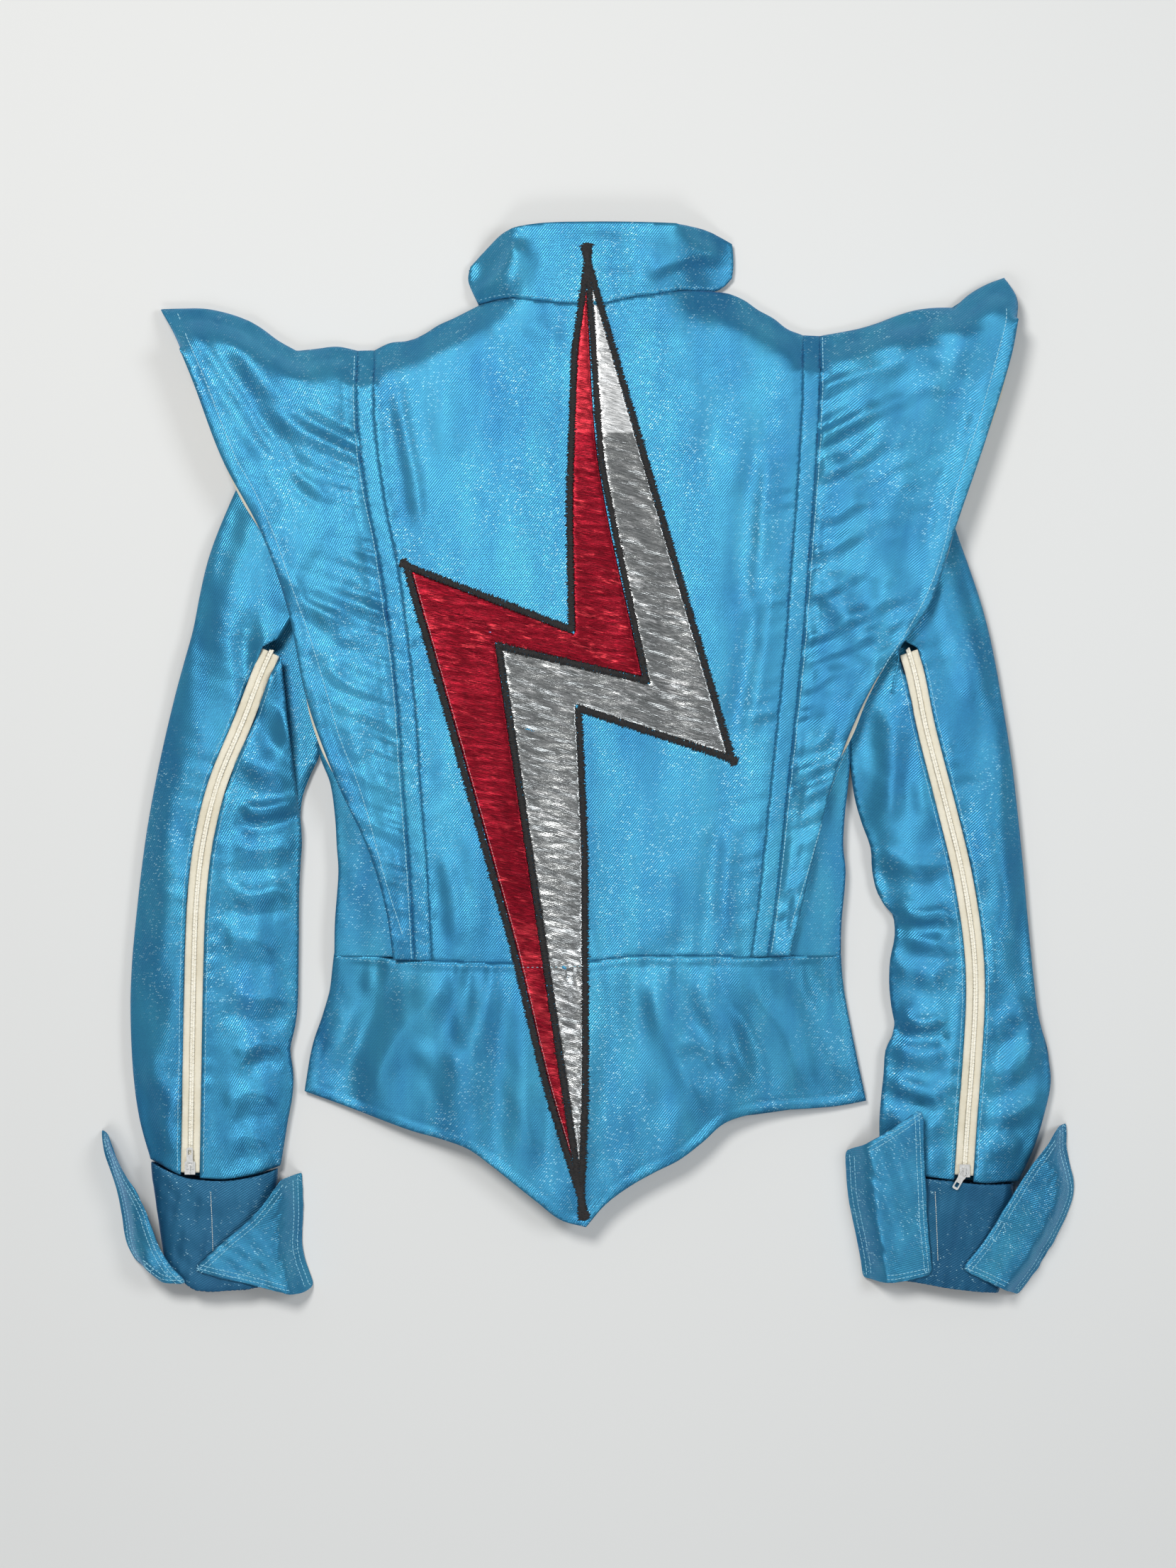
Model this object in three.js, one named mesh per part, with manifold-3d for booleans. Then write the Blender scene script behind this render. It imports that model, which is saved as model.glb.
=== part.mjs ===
// A costume jacket with winged shoulders, laid flat on its front.
// Millimetres. X runs across the shoulders, Y from the tail to the collar, Z up through the layers.
import * as THREE from 'three';
import Module from 'manifold-3d';

const wasm = await Module();
wasm.setup();

// ---------- driving sizes ----------
const CLOTH = 2.4;          // shell cloth with its interlining
const LINING = 1.4;         // lining cloth
const STIFFENER = 1.2;      // cream stiffener inside a wing
const GAP = 0.4;            // air between neighbouring pieces
const CROWN = 24;           // top of the flat back above the floor
const SLEEVE_DROP = 4;      // how much lower than the back the top of a sleeve lies
const WING_LIFT = 9;        // how much a wing rises away from its seam
const ROLL = 24;            // width of the rolled edge along the shoulders
const BAND = 12;            // width of the stitched band beside a wing seam
const STIFFENER_INSET = 28; // distance from that band to the stiffener
const COLLAR = 57;          // height of the stand collar
const CUFF_HEIGHT = 21.2;   // a flattened cuff band, floor to top
const CUFF_ROLL = 16;       // width over which a cuff wing rises from the floor
const CUFF_FLARE = 8;       // how much more its tip stands up
const CHAIN_HALF = 1.7;     // half the width of a zip's coil chain
const CHAIN_HEIGHT = 1.6;
const TAPE_HALF = 6.5;      // half the width of zip tape that shows
const TAPE = 1.0;           // thickness of zip tape
const TAPE_GAP = 0.7;       // air between the tape and the cloth beside it
const CHAIN_RISE = 1.2;     // how far the chain stands out of the tape
const WRIST_GAP = 0.8;      // air between a sleeve and its cuff
const STROKE = 4.6;         // black outline of the bolt
const DIVIDER = 1.9;        // half the black line between its colours
const OUTLINE_HEIGHT = 1.4;
const APPLIQUE = 0.8;       // thickness of the bolt's red and silver pieces
const BOLT_CLEAR = 0.3;     // air under the bolt and between its pieces
const FRONT_SLOT = 6.8;     // half the opening that the front zip closes
const FRONT_TAPE_LAP = 3.6; // how far the front zip's tape runs in over the front panels
const FRONT_SLIDER_Y = 285; // the front zip is closed up to the neck
const FRONT_ZIP_START = 6;  // above the front hem
const FRONT_ZIP_END = 4;    // above the neck seam

// ---------- levels, from the floor up ----------
const SIDE_FLOOR = CLOTH + GAP;                        // under the pieces that lie over a front wing
const LINING_FLOOR = SIDE_FLOOR + CLOTH + GAP;         // under the front lining and the sleeve's top layer
const BACK_LINING_EDGE = LINING_FLOOR + LINING + GAP;  // under the back lining at the side seam
const SIDE_EDGE = BACK_LINING_EDGE + LINING + GAP + CLOTH;
const ROLLED_EDGE = SIDE_FLOOR + CLOTH;                // top of the back where it meets the front
const SLEEVE_EDGE = LINING_FLOOR + CLOTH;
const SLEEVE_TOP = CROWN - SLEEVE_DROP;                // top of a sleeve along its zip
const TUCK = CROWN - CLOTH - GAP;                      // top of a side panel, tucked under the centre panel
const CUFF_TOP = CUFF_HEIGHT + GAP + CLOTH;
const FRONT_TAPE_FLOOR = LINING_FLOOR + 0.1;

// ---------- colours ----------
const cloth = (color) => new THREE.MeshStandardMaterial({ color, roughness: 0.42, metalness: 0.35 });
const BLUE = cloth(0x3e92c8);
const DEEP_BLUE = cloth(0x2f6fa8);
const LINING_BLUE = new THREE.MeshStandardMaterial({ color: 0x27557e, roughness: 0.8, metalness: 0 });
const CREAM = new THREE.MeshStandardMaterial({ color: 0xe8e0cc, roughness: 0.85, metalness: 0 });
const CHAIN_CREAM = new THREE.MeshStandardMaterial({ color: 0xefe8d6, roughness: 0.5, metalness: 0 });
const NICKEL = new THREE.MeshStandardMaterial({ color: 0xd8d8d4, roughness: 0.3, metalness: 0.9 });
const RED = cloth(0x96051c);
const SILVER = new THREE.MeshStandardMaterial({ color: 0x9a9c9c, roughness: 0.35, metalness: 0.8 });
const BLACK = new THREE.MeshStandardMaterial({ color: 0x1c1817, roughness: 0.8, metalness: 0 });

// ---------- helpers ----------
const group = new THREE.Group();

function add(name, geometry, material) {
  const mesh = new THREE.Mesh(geometry, material);
  mesh.name = name;
  group.add(mesh);
  return mesh;
}

const mix = (a, b, t) => a + (b - a) * t;
const clamp01 = (t) => Math.min(1, Math.max(0, t));
const smooth = (t) => clamp01(t) ** 2 * (3 - 2 * clamp01(t));

// A smooth curve through [x, y] points, as a function of 0..1 along its length.
function curve(points) {
  const spline = new THREE.CatmullRomCurve3(
    points.map(([x, y]) => new THREE.Vector3(x, y, 0)), false, 'centripetal');
  spline.arcLengthDivisions = 400;
  return (t) => {
    const p = spline.getPointAt(clamp01(t));
    return [p.x, p.y];
  };
}

// The part of a curve between two places on it.
const stretch = (line, from, to) => (t) => line(mix(from, to, t));

// A curve beside another: side(t) is the distance to the left of the way it runs.
function beside(line, side) {
  return (t) => {
    const [ax, ay] = line(t - 0.002);
    const [bx, by] = line(t + 0.002);
    const length = Math.hypot(bx - ax, by - ay);
    const [x, y] = line(t);
    return [x - ((by - ay) / length) * side(t), y + ((bx - ax) / length) * side(t)];
  };
}

// x of a chain of points at a height y, and y at a place x: straight lines between the points.
function along(points, from, to, at) {
  const sorted = [...points].sort((a, b) => a[from] - b[from]);
  const first = sorted[0];
  const last = sorted[sorted.length - 1];
  if (at <= first[from]) return first[to];
  if (at >= last[from]) return last[to];
  const i = sorted.findIndex((p) => p[from] >= at);
  const [a, b] = [sorted[i - 1], sorted[i]];
  return mix(a[to], b[to], (at - a[from]) / (b[from] - a[from] || 1));
}
const xAt = (points, y) => along(points, 1, 0, y);
const yAt = (points, x) => along(points, 0, 1, x);
const mixPoint = (a, b, t) => [mix(a[0], b[0], t), mix(a[1], b[1], t)];

const steps = (n) => Array.from({ length: n + 1 }, (_, i) => i / n);

// A closed sheet of cloth from a grid of [x, y, top] points, with its own thickness below.
function gridSheet(rows, thickness) {
  const height = rows.length;
  const width = rows[0].length;
  const positions = [];
  for (const drop of [0, thickness]) {
    for (const row of rows) for (const [x, y, z] of row) positions.push(x, y, z - drop);
  }
  const count = width * height;
  const at = (i, j, under) => j * width + i + (under ? count : 0);
  const faces = [];
  const quad = (a, b, c, d) => faces.push(a, b, c, a, c, d);
  for (let j = 0; j < height - 1; j++) {
    for (let i = 0; i < width - 1; i++) {
      quad(at(i, j), at(i, j + 1), at(i + 1, j + 1), at(i + 1, j));
      quad(at(i, j, 1), at(i + 1, j, 1), at(i + 1, j + 1, 1), at(i, j + 1, 1));
    }
  }
  for (let i = 0; i < width - 1; i++) {
    quad(at(i, 0), at(i + 1, 0), at(i + 1, 0, 1), at(i, 0, 1));
    quad(at(i + 1, height - 1), at(i, height - 1), at(i, height - 1, 1), at(i + 1, height - 1, 1));
  }
  for (let j = 0; j < height - 1; j++) {
    quad(at(0, j + 1), at(0, j), at(0, j, 1), at(0, j + 1, 1));
    quad(at(width - 1, j), at(width - 1, j + 1), at(width - 1, j + 1, 1), at(width - 1, j, 1));
  }
  return outward(positions, faces);
}

// Turns a closed body's faces round if they point inwards.
function outward(positions, faces) {
  let volume = 0;
  const p = (i) => new THREE.Vector3(...positions.slice(3 * i, 3 * i + 3));
  for (let f = 0; f < faces.length; f += 3) {
    volume += p(faces[f]).dot(p(faces[f + 1]).cross(p(faces[f + 2])));
  }
  if (volume < 0) faces.reverse();
  const geometry = new THREE.BufferGeometry();
  geometry.setAttribute('position', new THREE.Float32BufferAttribute(positions, 3));
  geometry.setIndex(faces);
  geometry.computeVertexNormals();
  return geometry;
}

// A sheet filled in between four edges. Each edge is a function of 0..1: top and bottom run from the
// left edge to the right one, left and right run from the top edge to the bottom one.
// The ends of top and bottom are the corners.
function patch({ top, bottom, left, right }, columns, rows, level, thickness = CLOTH) {
  const corner = [top(0), top(1), bottom(0), bottom(1)];
  const edge = (line, v, end) => (v === 0 ? top(end) : v === 1 ? bottom(end) : line(v));
  return gridSheet(rows.map((v) => columns.map((u) => {
    const [start, stop] = [edge(left, v, 0), edge(right, v, 1)];
    const place = [0, 1].map((k) => mix(top(u)[k], bottom(u)[k], v) + mix(start[k], stop[k], u)
      - mix(mix(corner[0][k], corner[1][k], u), mix(corner[2][k], corner[3][k], u), v));
    return [...place, level(place[0], place[1], u, v)];
  })), thickness);
}

// A flat piece cut to an outline, between two levels.
function flat(outline, bottom, thickness, holes = []) {
  const shape = new THREE.Shape(outline.map(([x, y]) => new THREE.Vector2(x, y)));
  shape.holes = holes.map((hole) => new THREE.Path(hole.map(([x, y]) => new THREE.Vector2(x, y))));
  const geometry = new THREE.ExtrudeGeometry(shape, { depth: thickness, bevelEnabled: false });
  return geometry.translate(0, 0, bottom);
}

const trace = (line, n) => steps(n).map((t) => line(t));

// The outline moved inwards, each side by its own distance. The outline runs counter-clockwise.
function inset(outline, distances) {
  const n = outline.length;
  const sides = outline.map(([x, y], i) => {
    const [nx, ny] = outline[(i + 1) % n];
    const length = Math.hypot(nx - x, ny - y);
    const inward = [-(ny - y) / length, (nx - x) / length];
    return { inward, reach: inward[0] * x + inward[1] * y + distances[i] };
  });
  return sides.map((side, i) => {
    const before = sides[(i + n - 1) % n];
    const det = before.inward[0] * side.inward[1] - before.inward[1] * side.inward[0];
    return [
      (before.reach * side.inward[1] - side.reach * before.inward[1]) / det,
      (side.reach * before.inward[0] - before.reach * side.inward[0]) / det,
    ];
  });
}

function fromManifold(solid) {
  const mesh = solid.getMesh();
  const geometry = new THREE.BufferGeometry();
  geometry.setAttribute('position', new THREE.Float32BufferAttribute(mesh.vertProperties, 3));
  geometry.setIndex([...mesh.triVerts]);
  geometry.computeVertexNormals();
  return geometry;
}

// ---------- pattern: the two sides differ, because the cloth lies as it fell ----------
const NECK = [[-80, 335], [-60, 338], [-40, 336], [-22, 334], [12, 334], [32, 338], [54, 341], [69, 343.5],
  [92, 344.5]];
const LEFT = {
  sign: -1,
  crest: [[-312, 332], [-277, 332], [-247, 323], [-225, 308], [-211, 301], [-188, 305], [-168, 301.5],
    [-156, 302], [-146, 307], [-127, 310], [-108, 321], [-90, 329], [-80, 335]],
  seam: [[-156, 302], [-155, 245], [-149, 198], [-141, 160], [-134, 111], [-127.5, 63], [-122, -15],
    [-117, -78], [-113.5, -143]],
  wingEdge: [[-312, 332], [-301, 313], [-288, 283], [-270, 235], [-254, 197], [-231, 157], [-217, 112],
    [-208, 70], [-197, 20], [-182, -11], [-170, -32], [-159, -62], [-150, -95], [-142, -120], [-141, -141.5]],
  headTop: 272,
  arm: [[-176, 272], [-196, 9]],
  side: [[-196, 9], [-188, -14], [-184.5, -38], [-182, -79], [-184.5, -115], [-185, -138]],
  sleeveOuter: [[-176, 272], [-215, 252], [-243, 222], [-259, 195], [-278, 145], [-288, 97], [-301, 50],
    [-312, 3], [-322, -50], [-330, -115], [-333.5, -160], [-333, -205], [-330, -242], [-325, -268],
    [-319, -288]],
  sleeveInner: [[-196, 9], [-204, -10], [-211, -32], [-209.5, -50], [-211.5, -90], [-212, -140],
    [-213.5, -187], [-218, -206], [-215.5, -233], [-220, -262], [-225, -293]],
  zip: [[-186, 165], [-205, 125], [-231, 80], [-251, 30], [-269, -14], [-279.5, -57], [-284.5, -100],
    [-286.5, -154], [-287.8, -225], [-289, -298]],
  zipTop: 82,
  wrist: [[-319, -288], [-295, -299], [-276, -301.5], [-259, -301.5], [-240, -298], [-225, -293]],
  peplumSide: [[-185, -138], [-190, -172], [-201, -205], [-207, -239]],
  cuff: {
    sides: [[-320, -225], [-313, -230], [-308, -233]],
    bottom: [[-303, -371], [-287, -383], [-274, -385], [-240, -382], [-233, -380]],
    middle: -337,
  },
  outerWing: {
    top: [[-356, -268], [-350, -270]],
    silhouette: [[-356, -268], [-355, -283], [-346, -308], [-341, -333], [-336.5, -357], [-322, -370]],
    free: [[-350, -270], [-335.5, -297], [-322, -319], [-314, -342], [-306, -360], [-290, -377]],
    bottom: [[-322, -370], [-308, -377], [-290, -377]],
  },
  innerWing: {
    top: [[-209.5, -299], [-222, -301]],
    silhouette: [[-209.5, -299], [-208.5, -328], [-209, -355], [-200, -382]],
    free: [[-222, -301], [-242, -327], [-262, -344], [-288, -368]],
    bottom: [[-200, -382], [-207, -386], [-250, -377], [-288, -368]],
  },
  pull: 0,
};
const RIGHT = {
  sign: 1,
  crest: [[92, 344.5], [102, 343.5], [115, 338], [129, 328], [138, 324], [147.5, 316], [157, 313],
    [170, 311], [203, 319], [234, 330], [252, 333], [266, 332], [275, 340], [287, 348], [304, 355]],
  seam: [[157, 313], [154, 233], [149, 164], [143, 85], [133, -11], [122, -114], [118, -140]],
  wingEdge: [[304, 355], [312, 338], [310, 318], [301, 275], [291, 243], [280, 218], [270, 187], [259, 148],
    [244, 110], [228, 90], [213, 68], [204, 54], [199, 36], [190, 18], [180, 0], [171, -18], [168, -42],
    [160, -85], [150, -118], [146, -138.5]],
  headTop: 282,
  arm: [[178, 282], [191, 6]],
  side: [[191, 6], [189, -25], [185, -52], [188, -76], [185, -108], [184, -138]],
  sleeveOuter: [[178, 282], [214, 262], [240, 232], [258, 200], [270, 165], [288, 112], [297, 73], [304, 32],
    [309, 0], [317, -73], [322, -128], [330, -193], [338, -221], [336, -240], [329, -269], [321, -290],
    [314, -304]],
  sleeveInner: [[191, 6], [195, -24], [202, -48], [207, -62], [208, -78], [214, -99], [225, -113],
    [224.5, -126], [220.5, -149], [222, -177], [225, -191], [218.5, -206], [216, -232], [213.5, -256],
    [214, -296]],
  zip: [[186, 165], [212, 122], [233, 81], [246, 24], [260.5, -32], [272, -80], [279.5, -128], [281.5, -165],
    [279, -217], [276, -256], [273, -300]],
  zipTop: 82,
  wrist: [[314, -304], [290, -304.5], [265, -302], [240, -299], [214, -296]],
  peplumSide: [[184, -138], [186, -160], [196.5, -216], [203, -246]],
  cuff: {
    sides: [[311, 220], [308, 221], [300, 222]],
    bottom: [[300, -386], [284, -385], [260, -382], [240, -378], [222, -376]],
    middle: -340,
  },
  outerWing: {
    top: [[350, -263], [343, -264]],
    silhouette: [[350, -263], [350, -281], [356.5, -314], [345, -342], [330, -368], [315, -389]],
    free: [[343, -264], [322, -289], [305, -316], [287, -346], [270, -367]],
    bottom: [[315, -389], [292, -377], [270, -367]],
  },
  innerWing: {
    top: [[188, -283], [214, -268], [242, -248]],
    silhouette: [[188, -283], [190, -315], [196, -345], [200, -366], [201, -376]],
    free: [[242, -248], [244.5, -300], [247, -340], [250.5, -371]],
    bottom: [[201, -376], [222, -377], [250.5, -371]],
  },
  pull: 150,
};
const SIDES = { left: LEFT, right: RIGHT };
const WAIST = [[-185, -138], [-144, -141.5], [-113.5, -143], [-57, -144.5], [0, -143.5], [25, -139.5],
  [79, -139], [118, -140], [184, -138]];
const HEM = [[-207, -239], [-173, -251], [-131, -266], [-92, -277], [-80, -284], [-44, -312], [-22, -329],
  [-6, -338], [13, -319], [29, -307], [52, -294], [73, -283], [99, -261], [123, -254], [180, -250],
  [203, -246]];
const CREST = [...LEFT.crest, ...NECK.slice(1, -1), ...RIGHT.crest];
// The collar's edges: x, and the share of the collar's height above COLLAR_BASE.
const collarEdge = (points) => points.map(([x, share]) => [x, COLLAR_BASE + COLLAR * share]);
const COLLAR_BASE = 336;
const COLLAR_TOP = collarEdge([[-72, 0.72], [-61, 0.88], [-40, 0.97], [2, 1], [69, 0.97], [89, 0.91],
  [105, 0.77]]);
const COLLAR_ENDS = {
  left: collarEdge([[-72, 0.72], [-87, 0.44], [-87, 0.28], [-80, 0]]),
  right: collarEdge([[105, 0.77], [106, 0.52], [104, 0.3], [92, 0.16]]),
};
const FRONT_NECK_DROP = 35;     // how much lower the neck is at the front
const FRONT_HEM = -258;
const FRONT_COLLAR_SHARE = 0.7; // the front collar halves, against the back of the collar

const onWaist = (x, below = 0) => [x, yAt(WAIST, x) - below];
const onWrist = (side, x, below = 0) => [x, yAt(side.wrist, x) - below];

// ---------- the surface of the back ----------
// How far the collar and the neck edge have rolled down: none over the middle, all of it at the ends.
const neckRoll = (x) => (x < 6 ? smooth((-x - 55) / 25) : smooth((x - 66) / 26));

// 1 at the crest of the shoulders, 0 from ROLL below it.
const crestRoll = (x, y) => 0.5 + 0.5 * Math.cos(Math.PI * clamp01((yAt(CREST, x) - y) / ROLL));

const rolled = (full, x, y) => full - (full - ROLLED_EDGE) * neckRoll(x) * crestRoll(x, y);

// Rows that crowd together where the shoulder rolls.
const ROLL_ROWS = [0, 0.011, 0.022, 0.033, 0.044, 0.058, 0.12, 0.24, 0.36, 0.48, 0.6, 0.72, 0.84, 0.93, 1];

function backCentrePanel() {
  const seam = (side) => beside(curve(side.seam), () => -side.sign * 0.5 * GAP);
  const top = CREST.filter(([x]) => x >= LEFT.seam[0][0] && x <= RIGHT.seam[0][0]);
  const [left, right] = [seam(LEFT), seam(RIGHT)];
  const bottom = (t) => onWaist(mix(left(1)[0], right(1)[0], t));
  const shape = { top: curve(top), bottom, left, right };
  const geometry = patch(shape, steps(26), ROLL_ROWS, (x, y) => rolled(CROWN, x, y));
  add('back_centre_panel', geometry, BLUE);
}

// The armhole arches from the side edge's level up to just under the sleeve's top.
const ARM_ARCH = SLEEVE_TOP - 1.5 - SIDE_EDGE;
const armLevel = (side, y) => {
  const [[, high], [, low]] = side.arm;
  return SIDE_EDGE + ARM_ARCH * Math.sin(Math.PI * clamp01((y - low) / (high - low)));
};
const edgeLevel = (side, y) => (y > side.arm[1][1] ? armLevel(side, y) : SIDE_EDGE);
const outerX = (side, y) => (y > side.arm[1][1] ? xAt(side.arm, y) : xAt(side.side, y));

const bodyRows = (side) => [side.headTop, 240, 200, 160, 120, 80, 40, side.arm[1][1], -14, -38, -60, -79, -115,
  -136];
const UNDER_LAP = 3;            // how far a side panel reaches under the centre panel

// One row of points across a side of the back, between its tuck under the centre panel and the sleeve
// or side seam, in the order of rising x.
function sideRow(side, y, drop = 0) {
  const inner = xAt(side.seam, y) - side.sign * UNDER_LAP;
  const outer = outerX(side, y) - side.sign * 0.5 * GAP;
  const row = [0, 0.34, 0.67, 1].map((u) => [mix(inner, outer, u), y, mix(TUCK, edgeLevel(side, y), u) - drop]);
  return side.sign < 0 ? row.reverse() : row;
}

function backSidePanel(name, side) {
  const rows = bodyRows(side).map((y) => sideRow(side, y));
  add(`back_side_panel_${name}`, gridSheet(rows, CLOTH), BLUE);
}

// The back lining hangs just under the side panels and spans flat between them.
function backLining() {
  const drop = CLOTH + GAP;
  const rightY = bodyRows(RIGHT);
  const rows = bodyRows(LEFT).map((y, i) => [...sideRow(LEFT, y, drop), [0, (y + rightY[i]) / 2, TUCK - drop],
    ...sideRow(RIGHT, rightY[i], drop)]);
  add('back_lining', gridSheet(rows, LINING), LINING_BLUE);
}

function seamBand(name, side) {
  const seam = beside(curve(side.seam), () => side.sign * 0.5 * GAP);
  const outer = beside(curve(side.seam), () => side.sign * BAND);
  const bottom = (t) => onWaist(mix(seam(1)[0], outer(1)[0], t));
  const shape = { top: (t) => mixPoint(seam(0), outer(0), t), bottom, left: seam, right: outer };
  add(`seam_band_${name}`, patch(shape, steps(2), ROLL_ROWS, (x, y) => rolled(CROWN, x, y)), BLUE);
}

// ---------- wings ----------
const wingLift = (side, x, y) => {
  const away = Math.max(0, side.sign * (x - xAt(side.seam, y)) - BAND);
  return WING_LIFT * (1 - Math.exp(-away / 30));
};

function wingShape(side) {
  const crest = side.crest.filter(([x]) => side.sign * x > side.sign * side.seam[0][0]);
  const outward = side.sign < 0 ? [...crest].reverse() : crest;
  const band = beside(curve(side.seam), () => side.sign * (BAND + GAP));
  const free = curve(side.wingEdge);
  return {
    top: curve([band(0), ...outward.slice(1)]),
    bottom: (t) => onWaist(mix(band(1)[0], free(1)[0], t)),
    left: band,
    right: free,
  };
}

function wingBack(name, side) {
  const level = (x, y) => rolled(CROWN + wingLift(side, x, y), x, y);
  const geometry = patch(wingShape(side), steps(10), ROLL_ROWS, level);
  add(`wing_back_${name}`, geometry, BLUE);
}

// The shares of the wing's edges that the stiffener runs between, its distance from the crest,
// and its distance under the cloth.
const STIFFENER_PLACE = { start: 0.09, end: 0.7, slant: 0.04, clear: ROLL + 16, below: 0.6 };

function wingStiffener(name, side) {
  const band = beside(curve(side.seam), () => side.sign * (BAND + STIFFENER_INSET));
  const free = curve(side.wingEdge);
  const { start, end, slant, clear, below } = STIFFENER_PLACE;
  const inner = stretch(band, start, end);
  const outer = stretch(free, start, end + slant);
  const underCrest = ([x]) => [x, yAt(CREST, x) - clear];
  const shape = {
    top: (t) => underCrest(mixPoint(inner(0), outer(0), t)),
    bottom: (t) => mixPoint(inner(1), outer(1), t),
    left: inner,
    right: outer,
  };
  const level = (x, y) => CROWN + wingLift(side, x, y) - CLOTH - below;
  add(`wing_stiffener_${name}`, patch(shape, steps(6), steps(12), level, STIFFENER), CREAM);
}

function wingFront(name, side) {
  const shape = wingShape(side);
  const seam = beside(curve(side.seam), () => side.sign * 0.5 * GAP);
  const outline = [...trace(seam, 8), shape.bottom(1), ...trace(shape.right, 16).reverse().slice(1),
    ...trace(shape.top, 12).reverse().slice(1)];
  add(`wing_front_${name}`, flat(outline, 0, CLOTH), BLUE);
}

// ---------- front of the body ----------
// The front of the neck, from the zip to the shoulder.
function frontNeckline(side) {
  const neckX = side.sign < 0 ? NECK[0][0] : NECK[NECK.length - 1][0];
  const neckY = yAt(CREST, neckX);
  return steps(4).map((t) => [mix(side.sign * FRONT_SLOT, neckX, t), neckY - FRONT_NECK_DROP * (1 - t) ** 2]);
}

const FRONT_WAIST_STEPS = 9;

function frontOutline(side) {
  const seam = beside(curve(side.seam), () => -side.sign * 0.5 * GAP);
  const neckline = frontNeckline(side);
  const neckX = neckline[neckline.length - 1][0];
  const shoulder = CREST.filter(([x]) => side.sign * x > side.sign * neckX
    && side.sign * x < side.sign * side.seam[0][0]);
  if (side.sign < 0) shoulder.reverse();
  const sides = trace(seam, 8).slice(0, -1);
  const waist = steps(FRONT_WAIST_STEPS).map((t) => onWaist(mix(seam(1)[0], side.sign * FRONT_SLOT, t)));
  return [...neckline, ...shoulder, ...sides, ...waist];
}

function frontPanel(name, side) {
  add(`front_panel_${name}`, flat(frontOutline(side), 0, CLOTH), BLUE);
}

function frontSidePanel(name, side) {
  const rows = bodyRows(side);
  const inner = rows.map((y) => [xAt(side.seam, y) + side.sign * 0.5 * GAP, y]);
  const outer = rows.map((y) => [outerX(side, y) - side.sign * 0.5 * GAP, y]);
  add(`front_side_panel_${name}`, flat([...inner, ...outer.reverse()], SIDE_FLOOR, CLOTH), BLUE);
}

const LINING_YOKE = 12;         // how far the front lining reaches above the sleeve head
const LINING_YOKE_X = 100;      // and where it starts to slope down to it

function frontLining(name, side) {
  const rows = bodyRows(side);
  const outer = rows.map((y) => [outerX(side, y) - side.sign * (0.5 * GAP + 1), y]);
  const centre = side.sign * (FRONT_SLOT + FRONT_TAPE_LAP + GAP);
  const top = rows[0] + LINING_YOKE;
  const outline = [[centre, rows[rows.length - 1]], [centre, top], [side.sign * LINING_YOKE_X, top], ...outer];
  add(`front_lining_${name}`, flat(outline, LINING_FLOOR, LINING), LINING_BLUE);
}

function frontPeplum(name, side) {
  const start = side.sign * FRONT_SLOT;
  const sideLine = trace(curve(side.peplumSide), 4);
  const waist = steps(FRONT_WAIST_STEPS).map((t) => mix(start, side.side[side.side.length - 1][0], t))
    .map((x) => onWaist(x, 2 * GAP));
  const [cornerX, cornerY] = sideLine[sideLine.length - 1];
  const hem = steps(4).slice(1).map((t) => [mix(cornerX, start, t), mix(cornerY, FRONT_HEM, smooth(2 * t))]);
  add(`front_peplum_${name}`, flat([...waist, ...sideLine.slice(1), ...hem], 0, CLOTH), BLUE);
}

// ---------- peplum ----------
const PEPLUM_FLAT = { waist: 0.6, hem: 0.34 };  // share of its width that lies flat at crown height

function backPeplum() {
  const hem = curve(HEM);
  const [start, end] = [WAIST[0][0], WAIST[WAIST.length - 1][0]];
  const shape = {
    top: (t) => onWaist(mix(start, end, t), GAP),
    bottom: hem,
    left: curve(LEFT.peplumSide),
    right: curve(RIGHT.peplumSide),
  };
  const level = (x, y, u, v) => {
    const across = Math.abs(2 * u - 1);
    const flatShare = mix(PEPLUM_FLAT.waist, PEPLUM_FLAT.hem, v);
    const edge = mix(SIDE_EDGE, ROLLED_EDGE, smooth(4 * v));
    return mix(CROWN, edge, smooth((across - flatShare) / (1 - flatShare)));
  };
  add('back_peplum', patch(shape, steps(22), steps(8), level), BLUE);
}

// ---------- collar ----------
const collarLevel = (x) => mix(CROWN, ROLLED_EDGE, neckRoll(x));

const raised = (line, dy) => (t) => [line(t)[0], line(t)[1] + dy];

function collarOuter() {
  const shape = {
    top: curve(COLLAR_TOP),
    bottom: raised(curve(NECK), 2 * GAP),
    left: curve(COLLAR_ENDS.left),
    right: curve(COLLAR_ENDS.right),
  };
  add('collar_outer', patch(shape, steps(24), steps(5), collarLevel), BLUE);
}

// The inner layer of the collar, under its flat middle.
function collarFacing() {
  const [start, end, margin] = [0.22, 0.76, 2];
  const top = stretch(raised(curve(COLLAR_TOP), -margin), start, end);
  const bottom = stretch(raised(curve(NECK), 2 * GAP + margin), start, end);
  const shape = {
    top,
    bottom,
    left: (v) => mixPoint(top(0), bottom(0), v),
    right: (v) => mixPoint(top(1), bottom(1), v),
  };
  const level = (x) => collarLevel(x) - CLOTH - GAP;
  add('collar_facing', patch(shape, steps(8), steps(3), level, LINING), LINING_BLUE);
}

function collarFront(name, side) {
  const neckline = frontNeckline(side).map(([x, y]) => [x, y + 2 * GAP]);
  const height = COLLAR * FRONT_COLLAR_SHARE;
  const top = neckline.slice(0, -1).reverse().map(([x, y]) => [x, y + height]);
  const outline = [...neckline, ...COLLAR_ENDS[name].slice(0, 2).reverse(), ...top];
  add(`collar_front_${name}`, flat(outline, 0, CLOTH), BLUE);
}

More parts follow.
